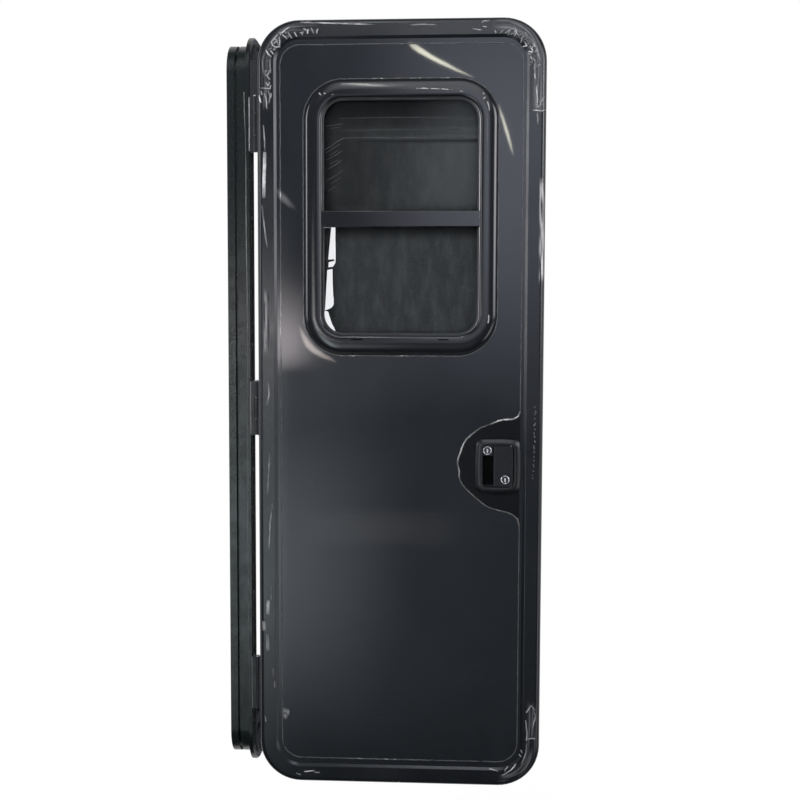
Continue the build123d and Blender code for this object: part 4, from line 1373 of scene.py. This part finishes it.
# %% Screw places
out_of_wall, out_of_hinge, into_van, off_strike = (0, -1, 0), (0, 1, 0), (1, 0, 0), (-1, 0, 0)
fixing_across, fixing_rows = 0.318, (-0.45, -0.15, 0.15, 0.45)
plate_rows, strap_rows, strike_rows = (-0.052, -0.018, 0.018, 0.052), (-0.052, 0.052), (-0.034, 0.034)
plate_inset, plate_thickness, strap_inset = 0.004, 0.003, 0.008
clamp_inset, clamp_rows, clamp_columns = 0.016, (-0.19, 0.0, 0.19), (-0.09, 0.09)
case_inset = Vector((0, 0.012, 0.013))

flange_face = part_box("frame_hinge_jamb")[0].y
flange_places = [(side * fixing_across, flange_face, leaf_level + row)
                 for side in (-1, 1) for row in fixing_rows]
plate_places, strap_places = [], []
for place in ("top", "middle", "bottom"):
    plate_low, plate_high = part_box(f"hinge_plate_{place}")
    strap_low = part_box(f"hinge_strap_{place}")[0]
    middle = (plate_low.z + plate_high.z) / 2
    strap_face = leaf_middle + leaf_half_width + plate_thickness
    plate_places += [(plate_high.x - plate_inset, flange_face - plate_thickness, middle + row)
                     for row in plate_rows]
    strap_places += [(strap_low.x + strap_inset, strap_face, middle + row) for row in strap_rows]

clamp_low, clamp_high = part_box("window_inner_frame")
clamp_width = (clamp_high.y - clamp_low.y) / 2 - clamp_inset
clamp_height = (clamp_high.z - clamp_low.z) / 2 - clamp_inset
clamp_level = leaf_level + opening_up
clamp_places = [(clamp_high.x, leaf_middle + side * clamp_width, clamp_level + row)
                for side in (-1, 1) for row in clamp_rows]
clamp_places += [(clamp_high.x, leaf_middle + column, clamp_level + side * clamp_height)
                 for side in (-1, 1) for column in clamp_columns]

case_low, case_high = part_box("inner_latch_case")
case_near, case_far = case_low + case_inset, case_high - case_inset
case_places = [(case_high.x, y, z) for y in (case_near.y, case_far.y) for z in (case_near.z, case_far.z)]
strike_low, strike_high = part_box("strike_plate")
strike_middle = (strike_low + strike_high) / 2
strike_places = [(strike_low.x, strike_middle.y, strike_middle.z + row) for row in strike_rows]

screws("flange_screws", "frame", out_of_wall, flange_places, 0.0042, 0.0018)
screws("hinge_plate_screws", "frame", out_of_wall, plate_places, 0.0027, 0.0011)
screws("hinge_strap_screws", "leaf", out_of_hinge, strap_places, 0.0032, 0.0011)
screws("inner_frame_screws", "leaf", into_van, clamp_places, 0.0038, 0.0016)
screws("latch_case_screws", "leaf", into_van, case_places, 0.0042, 0.0016)
screws("strike_screws", "frame", off_strike, strike_places, 0.0036, 0.0012)

# %% [markdown]
# ## Seal lips
# The weather seal on the flange is a flat rubber strip with two round lips, which the leaf presses on.
# The strip is a solid already, so the same bead tree adds the lips along it.

# %% Seal lips
seal_low, seal_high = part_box("frame_seal")
seal_half_width = (seal_high.x - seal_low.x) / 2
seal_level = (seal_high.z + seal_low.z) / 2
seal_half_height = (seal_high.z - seal_low.z) / 2
seal_corner, lip_radius = 0.078, 0.0012
seal_lines = []
for inset in (0.0025, 0.0065):
    loop = rounded(-seal_half_width + inset, seal_half_width - inset, -seal_half_height + inset,
                   seal_half_height - inset, seal_corner - inset)
    ring = [Vector((across, seal_low.y, seal_level + up)) for across, up in loop]
    seal_lines.append((ring, True, [1.0] * len(ring)))
seal_lips = line_mesh("seal_lips", seal_lines)
grow(seal_lips, bead_tree, Radius=lip_radius, Spacing=0.012, Wander=0.0, Thinnest=1.0, Ripple=50.0,
     Material=finishes["seal_rubber"])
seat(seal_lips, "frame")

# %% [markdown]
# ## Lock collars
# Each lock has a chromed collar, turned on a lathe: a rounded rim, then a shallow dish down to the key
# plug. The solid is a plain ring, so a turned ring of the same size replaces it and catches a bright
# line on its rim. A pale upright bar in the plug's keyway is a painted highlight of the keyway's bright
# edge, and it turns with the plug.

# %% Lock collars
def lathe_turned(name, centre, front, section, segments=48):
    points = []
    for radius, depth in section:
        for step in range(segments):
            angle = 2 * math.pi * step / segments
            across, up = radius * math.cos(angle), radius * math.sin(angle)
            points.append((front + depth, centre.y + across, centre.z + up))
    faces = grid_faces(len(section), segments, ring=True, loop=True)
    made = face_outwards(mesh_object(name, points, faces))
    made.data.set_sharp_from_angle(angle=math.radians(55))
    return made


plug_gap = 0.0003
highlight_reach = Vector((0, 0.0015, 0.0043))
highlight_proud, highlight_deep = 0.00004, 0.0008
for place, body in (("upper", "leaf"), ("lower", "paddle")):
    collar_low, collar_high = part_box(f"{place}_lock_collar")
    plug_low, plug_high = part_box(f"{place}_key_plug")
    outer = (collar_high.y - collar_low.y) / 2
    inner = (plug_high.y - plug_low.y) / 2 + plug_gap
    depth = collar_high.x - collar_low.x
    section = [(inner, depth), (outer, depth), (outer, 0.0016), (outer - 0.0004, 0.0007),
               (outer - 0.0011, 0.0001), (outer - 0.0018, 0.0), (outer - 0.0026, 0.0003),
               (inner + 0.0004, 0.0013), (inner, 0.0016)]
    collar = lathe_turned(f"{place}_collar_turned", (collar_low + collar_high) / 2, collar_low.x, section)
    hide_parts(f"{place}_lock_collar")
    plug_middle = (plug_low + plug_high) / 2
    plug_front = Vector((plug_low.x, plug_middle.y, plug_middle.z))
    # A pale bar in the keyway is a painted highlight of its bright edge.
    keyway_highlight = block(f"{place}_keyway_highlight_bar", plug_front - highlight_reach - Vector((highlight_proud, 0, 0)),
                    plug_front + highlight_reach + Vector((highlight_deep, 0, 0)))
    dress(collar, finishes["lock_chrome"], body)
    dress(keyway_highlight, finishes["keyway_highlight_satin"], f"{place}_key")

# %% [markdown]
# ## Loose film on the trim
# On the upper lock side the film has come off the rounded nose and lies in long pale smears, and round
# the corners it is cloudy between its folds; the paleness is partly the loose film's own cloudiness and
# partly a painted sheen. Each patch is a strip that follows the trim, whose paleness is a noise drawn out
# along it.

# %% Loose film
smeared, tree, shader = new_finish("loose_film")
smear_and_sheen = marked(tree, "smear_and_sheen")
# The pale smears are partly the loose film's own cloudiness and partly a painted sheen.
fill(tree, shader, {"Base Color": blend_colours(tree, smear_and_sheen, (0.007, 0.008, 0.010), (0.62, 0.61, 0.64)),
                    "Roughness": spread(tree, smear_and_sheen, 0.2, 0.4, 0.0, 1.0), "Specular IOR Level": 0.42})


def smear_film(piece, marks):
    mark_points(piece, "smear_and_sheen", marks)
    dress(piece, smeared, "leaf")


def loose_strip(name, start, end, outer, inner, seed, paleness):
    rows, columns = int((end - start) / 0.0025), int((inner - outer) / 0.001)
    points, marks = [], []
    for row in range(rows + 1):
        along = start + (end - start) * row / rows
        ends = ease(0, 0.03, min(along - start, end - along))
        for column in range(columns + 1):
            inset = outer + (inner - outer) * column / columns
            sides = ease(0, 0.35 * (inner - outer), min(inset - outer, inner - inset))
            drawn = 0.5 + 0.5 * noise.noise(Vector((along * 16, inset * 260, seed)))
            marks.append(paleness * ends * sides * ease(0.3, 0.75, drawn))
            points.append(on_trim(along, inset, 0.0003 * ends * sides - 0.00002))
    smear_film(face_forwards(mesh_object(name, points, grid_faces(rows + 1, columns + 1))), marks)


# Each strip: its start and end along the trim, outer and inner inset, the noise's seed and the paleness.
loose_strip("loose_film_lock_side", 0.885, 1.135, 0.001, 0.016, 2.0, 1.0)
loose_strip("loose_film_hinge_side", 3.925, 4.09, 0.013, 0.028, 6.0, 0.35)
loose_strip("loose_film_upper_lock_corner", 0.44, 0.75, 0.004, 0.034, 11.0, 0.20)
loose_strip("loose_film_upper_hinge_corner", 4.49, 4.81, 0.010, 0.034, 15.0, 0.12)
loose_strip("loose_film_lower_lock_corner", 2.11, 2.38, 0.006, 0.034, 19.0, 0.12)

# %% [markdown]
# ## Scraps and a painted highlight on the film and the window frame
# A blob of dried glue sits on the film near the foot of the hinge side, and a few scraps of film are left
# on the window frame's corners. A long thin bead on its upper side is a painted highlight, a bright streak
# on the roll. The blob is a filled outline with the cloudy finish, the scraps and the highlight are flat
# beads: how far each lifts, how far out it lies, then its points.

# %% Scraps
blob_points = (
    (-0.2817, -0.7218), (-0.2781, -0.7181), (-0.2709, -0.7192), (-0.2636, -0.7202), (-0.2624, -0.7288),
    (-0.2661, -0.7386), (-0.2722, -0.7473), (-0.2770, -0.7438), (-0.2806, -0.7426), (-0.2794, -0.7316),
    (-0.2817, -0.7218),
)
blob_sheet = filled_sheet((smooth_line(blob_points, 4)[:-1],), 0.0015)
blob_spots = [(vert.co.x, vert.co.y) for vert in blob_sheet.verts]
glue_blob = sheet_object("glue_blob", blob_sheet, lambda across, up: panel_out + 0.0006)
blotches = [noise.noise(Vector((across * 130, up * 130, 3.0))) for across, up in blob_spots]
smear_film(glue_blob, [0.05 + 0.20 * ease(-0.3, 0.5, blotch) for blotch in blotches])

scraps = (
    (0.6, 0.0350, (-0.1880, 0.7290), (-0.1836, 0.7245)),
    (0.6, 0.0350, (-0.1763, 0.7283), (-0.1685, 0.7239)),
    (0.4, 0.0352, (-0.1610, 0.7243), (-0.1534, 0.7253)), (0.6, 0.0350, (0.1883, 0.7267), (0.1906, 0.7222)),
    (0.7, 0.0352, (0.1890, 0.7121), (0.1941, 0.7166)),
    (0.5, 0.0350, (0.1982, 0.7071), (0.2014, 0.6958), (0.2029, 0.6846)),
    (0.6, 0.0350, (0.2057, 0.2206), (0.2044, 0.2021)),
    # A painted highlight, a bright streak along the roll's upper side, drawn as a scrap.
    (0.85, 0.0352, (0.0353, 0.7371), (0.0513, 0.7370), (0.0719, 0.7363), (0.0970, 0.7348), (0.1199, 0.7327),
     (0.1427, 0.7294)),
)
scrap_and_highlight_lines = []
for lift, out, *track in scraps:
    line = smooth_line(track, 6)
    scrap_and_highlight_lines.append(([on_leaf(*spot, out) for spot in line], False, tapered(len(line), lift)))
film_beads("roll_scraps_and_highlight", scrap_and_highlight_lines, 0.0020, 0.001, 0.6, 150.0, 0.8)

# %% [markdown]
# ## Pulled threads
# A fan of threads is drawn tight at the screen's upper hinge side, pale lines along the pleats are a
# painted highlight of their ridges, and beside the lock side the cloth is frayed into specks. Lines that
# thin would need a far finer sheet, so they are beads on its front.

# %% Pulled threads
thread_out, thread_lift = 0.0006, 0.6
threads_and_pleat_highlights = [
    (0.22, (-0.1738, 0.6593), (-0.1563, 0.6614), (-0.1352, 0.6636)),
    (0.14, (-0.1656, 0.6535), (-0.1422, 0.6567)),
    (0.40, (-0.1774, 0.6041), (-0.1633, 0.6132), (-0.1469, 0.6246), (-0.1306, 0.6325)),
    (0.22, (-0.1751, 0.5972), (-0.1586, 0.6074), (-0.1423, 0.6177)),
    (0.22, (-0.1751, 0.5811), (-0.1563, 0.5902), (-0.1376, 0.6016)),
    (0.16, (-0.1680, 0.5902), (-0.1469, 0.6028)),
    (0.26, (-0.1704, 0.5603), (-0.1540, 0.5694), (-0.1376, 0.5808)),
    (0.16, (-0.1657, 0.5718), (-0.1470, 0.5809)),
    (0.24, (-0.1728, 0.5349), (-0.1540, 0.5440), (-0.1353, 0.5578)),
    (0.16, (-0.1634, 0.5256), (-0.1423, 0.5394)), (0.12, (-0.1705, 0.5095), (-0.1517, 0.5209)),
    # Painted highlights along the pleats' ridges:
    (0.13, (-0.1422, 0.6762), (-0.0490, 0.6778), (0.0671, 0.6769), (0.1595, 0.6750)),
    (0.11, (-0.1306, 0.6486), (-0.0024, 0.6500), (0.1366, 0.6490)),
    (0.24, (-0.1352, 0.6303), (-0.1142, 0.6317), (-0.0023, 0.6317), (0.1483, 0.6311)),
]
chance = random.Random(12)
for index in range(46):
    across, up = 0.1615 + chance.uniform(-0.007, 0.006), 0.466 + 0.115 * chance.random() ** 1.5
    lift = chance.uniform(0.10, 0.30)
    end = (across + chance.uniform(-0.002, 0.002), up + chance.uniform(0.001, 0.004))
    threads_and_pleat_highlights.append((lift, (across, up), end))
thread_and_highlight_lines = []
for lift, *track in threads_and_pleat_highlights:
    line = smooth_line(track, 8)
    places = [on_leaf(*spot, screen_lift(*spot) + thread_out) for spot in line]
    thread_and_highlight_lines.append((places, False, tapered(len(line), thread_lift * lift)))
film_beads("pulled_threads_and_pleat_highlights", thread_and_highlight_lines, 0.0010, 0.0012, 0.5, 120.0, 0.5)

# %% [markdown]
# ## Latch rim and well
# The latch's bezel is a soft dome, while the solid has a flat slope with mitred corners. A thin dome
# lies over that slope, from the bezel's foot to just short of its recess: bowed outlines, each a little
# further in and further out, joined in rows. A black sheet on the floor of the finger well is painted
# shade, as dark as a deep pocket looks.

# %% Latch rim and well
bezel_low, bezel_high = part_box("latch_bezel")
bezel_across = leaf_middle - (bezel_low.y + bezel_high.y) / 2
bezel_up = (bezel_low.z + bezel_high.z) / 2 - leaf_level
bezel_bow, bezel_corner = 0.003, 0.016
bezel_half_width = (bezel_high.y - bezel_low.y) / 2 - bezel_bow
bezel_half_height = (bezel_high.z - bezel_low.z) / 2 - bezel_bow
corner_steps, side_parts = 8, 6
dome_section = (
    (0.0005, 0.0030), (-0.0002, 0.0040), (0.0002, 0.0052), (0.0016, 0.0064), (0.0036, 0.0075),
    (0.0060, 0.0084), (0.0085, 0.0091), (0.0106, 0.0094), (0.0120, 0.0093), (0.0127, 0.0091),
    (0.0129, 0.0085),
)


def even_parts(ring):
    points = []
    for index, start in enumerate(ring):
        parts = side_parts if index % (corner_steps + 1) == corner_steps else 1
        end = Vector(ring[(index + 1) % len(ring)])
        points += [Vector(start).lerp(end, part / parts) for part in range(parts)]
    return points


def bowed(place, half, other, other_half):
    return place + math.copysign(bezel_bow, place) * (1 - (other / other_half) ** 2) * abs(place) / half


def bezel_ring(inset):
    half_width, half_height = bezel_half_width - inset, bezel_half_height - inset
    corner = bezel_corner - 0.5 * inset
    ring = rounded(-half_width, half_width, -half_height, half_height, corner, corner_steps)
    return [(bezel_across + bowed(across, half_width, up, half_height),
             bezel_up + bowed(up, half_height, across, half_width)) for across, up in even_parts(ring)]


dome_points = [on_leaf(*spot, panel_out + rise) for inset, rise in dome_section for spot in bezel_ring(inset)]
dome_faces = grid_faces(len(dome_section), len(dome_points) // len(dome_section), ring=True)
bezel_dome = face_forwards(mesh_object("bezel_dome", dome_points, dome_faces))
well_floor = bezel_high.x - 0.0025
# A black sheet on the finger well's floor is painted shade.
well_shade = block("well_shade", (well_floor - 0.0006, leaf_middle - 0.2195, leaf_level - 0.1775),
                    (well_floor + 0.0002, leaf_middle - 0.1955, leaf_level - 0.1085))
dress(bezel_dome, finishes["latch_plastic"], "leaf")
dress(well_shade, finishes["painted_shadow_black"], "leaf")

# %% [markdown]
# ## Edges of the frame and the hinges
# The frame wears film too, and a bead beside the flange carries a painted highlight as a pale upright
# line, brightest level with the window; beads on the hinge plates' edges are painted highlights too.
# Above the top hinge a rubber strip closes the gap between frame and leaf.

# %% Frame edges
# Beads that carry painted highlights: the flange's edge line, then the hinge plates' edges.
frame_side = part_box("frame_hinge_jamb")[0].x - 0.0001
side_line = (
    (0.0024, 1.6214, 0.24), (0.0020, 1.5797, 0.20), (-0.0002, 1.5300, 0.07), (-0.0010, 1.4800, 0.09),
    (-0.0012, 1.4401, 0.20), (-0.0008, 1.3699, 0.30), (-0.0009, 1.2760, 0.28), (-0.0020, 1.1816, 0.20),
    (-0.0027, 1.0868, 0.12), (-0.0027, 0.8958, 0.09), (-0.0010, 0.6058, 0.17), (-0.0010, 0.4102, 0.10),
    (-0.0017, 0.3117, 0.10), (-0.0032, 0.1630, 0.05),
)
side_places = [Vector((frame_side, y, z)) for y, z, lift in side_line]
frame_highlight_lines = [(side_places, False, [lift for y, z, lift in side_line])]
plate_side, plate_edge, plate_end = -0.3436, 0.0008, 0.002
edge_parts = [step / 12 for step in range(13)]
for place, lift in (("top", 0.55), ("middle", 0.22), ("bottom", 0.14)):
    low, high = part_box(f"hinge_plate_{place}")
    heights = [low.z + plate_end + (high.z - low.z - 2 * plate_end) * part for part in edge_parts]
    edge = [Vector((plate_side, flange_face - plate_edge, z)) for z in heights]
    frame_highlight_lines.append((edge, False, [lift] * len(edge)))
film_beads("frame_edge_highlights", frame_highlight_lines, 0.0011, 0.0, 0.6, 30.0, 0.0, body="frame")

strip_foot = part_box("hinge_plate_top")[1].z - 0.0005
gap_strip = block("gap_strip", (-0.3434, -0.0331, strip_foot), (-0.3406, -0.0150, 1.690))
dress(gap_strip, finishes["hinge_coat"], "frame")
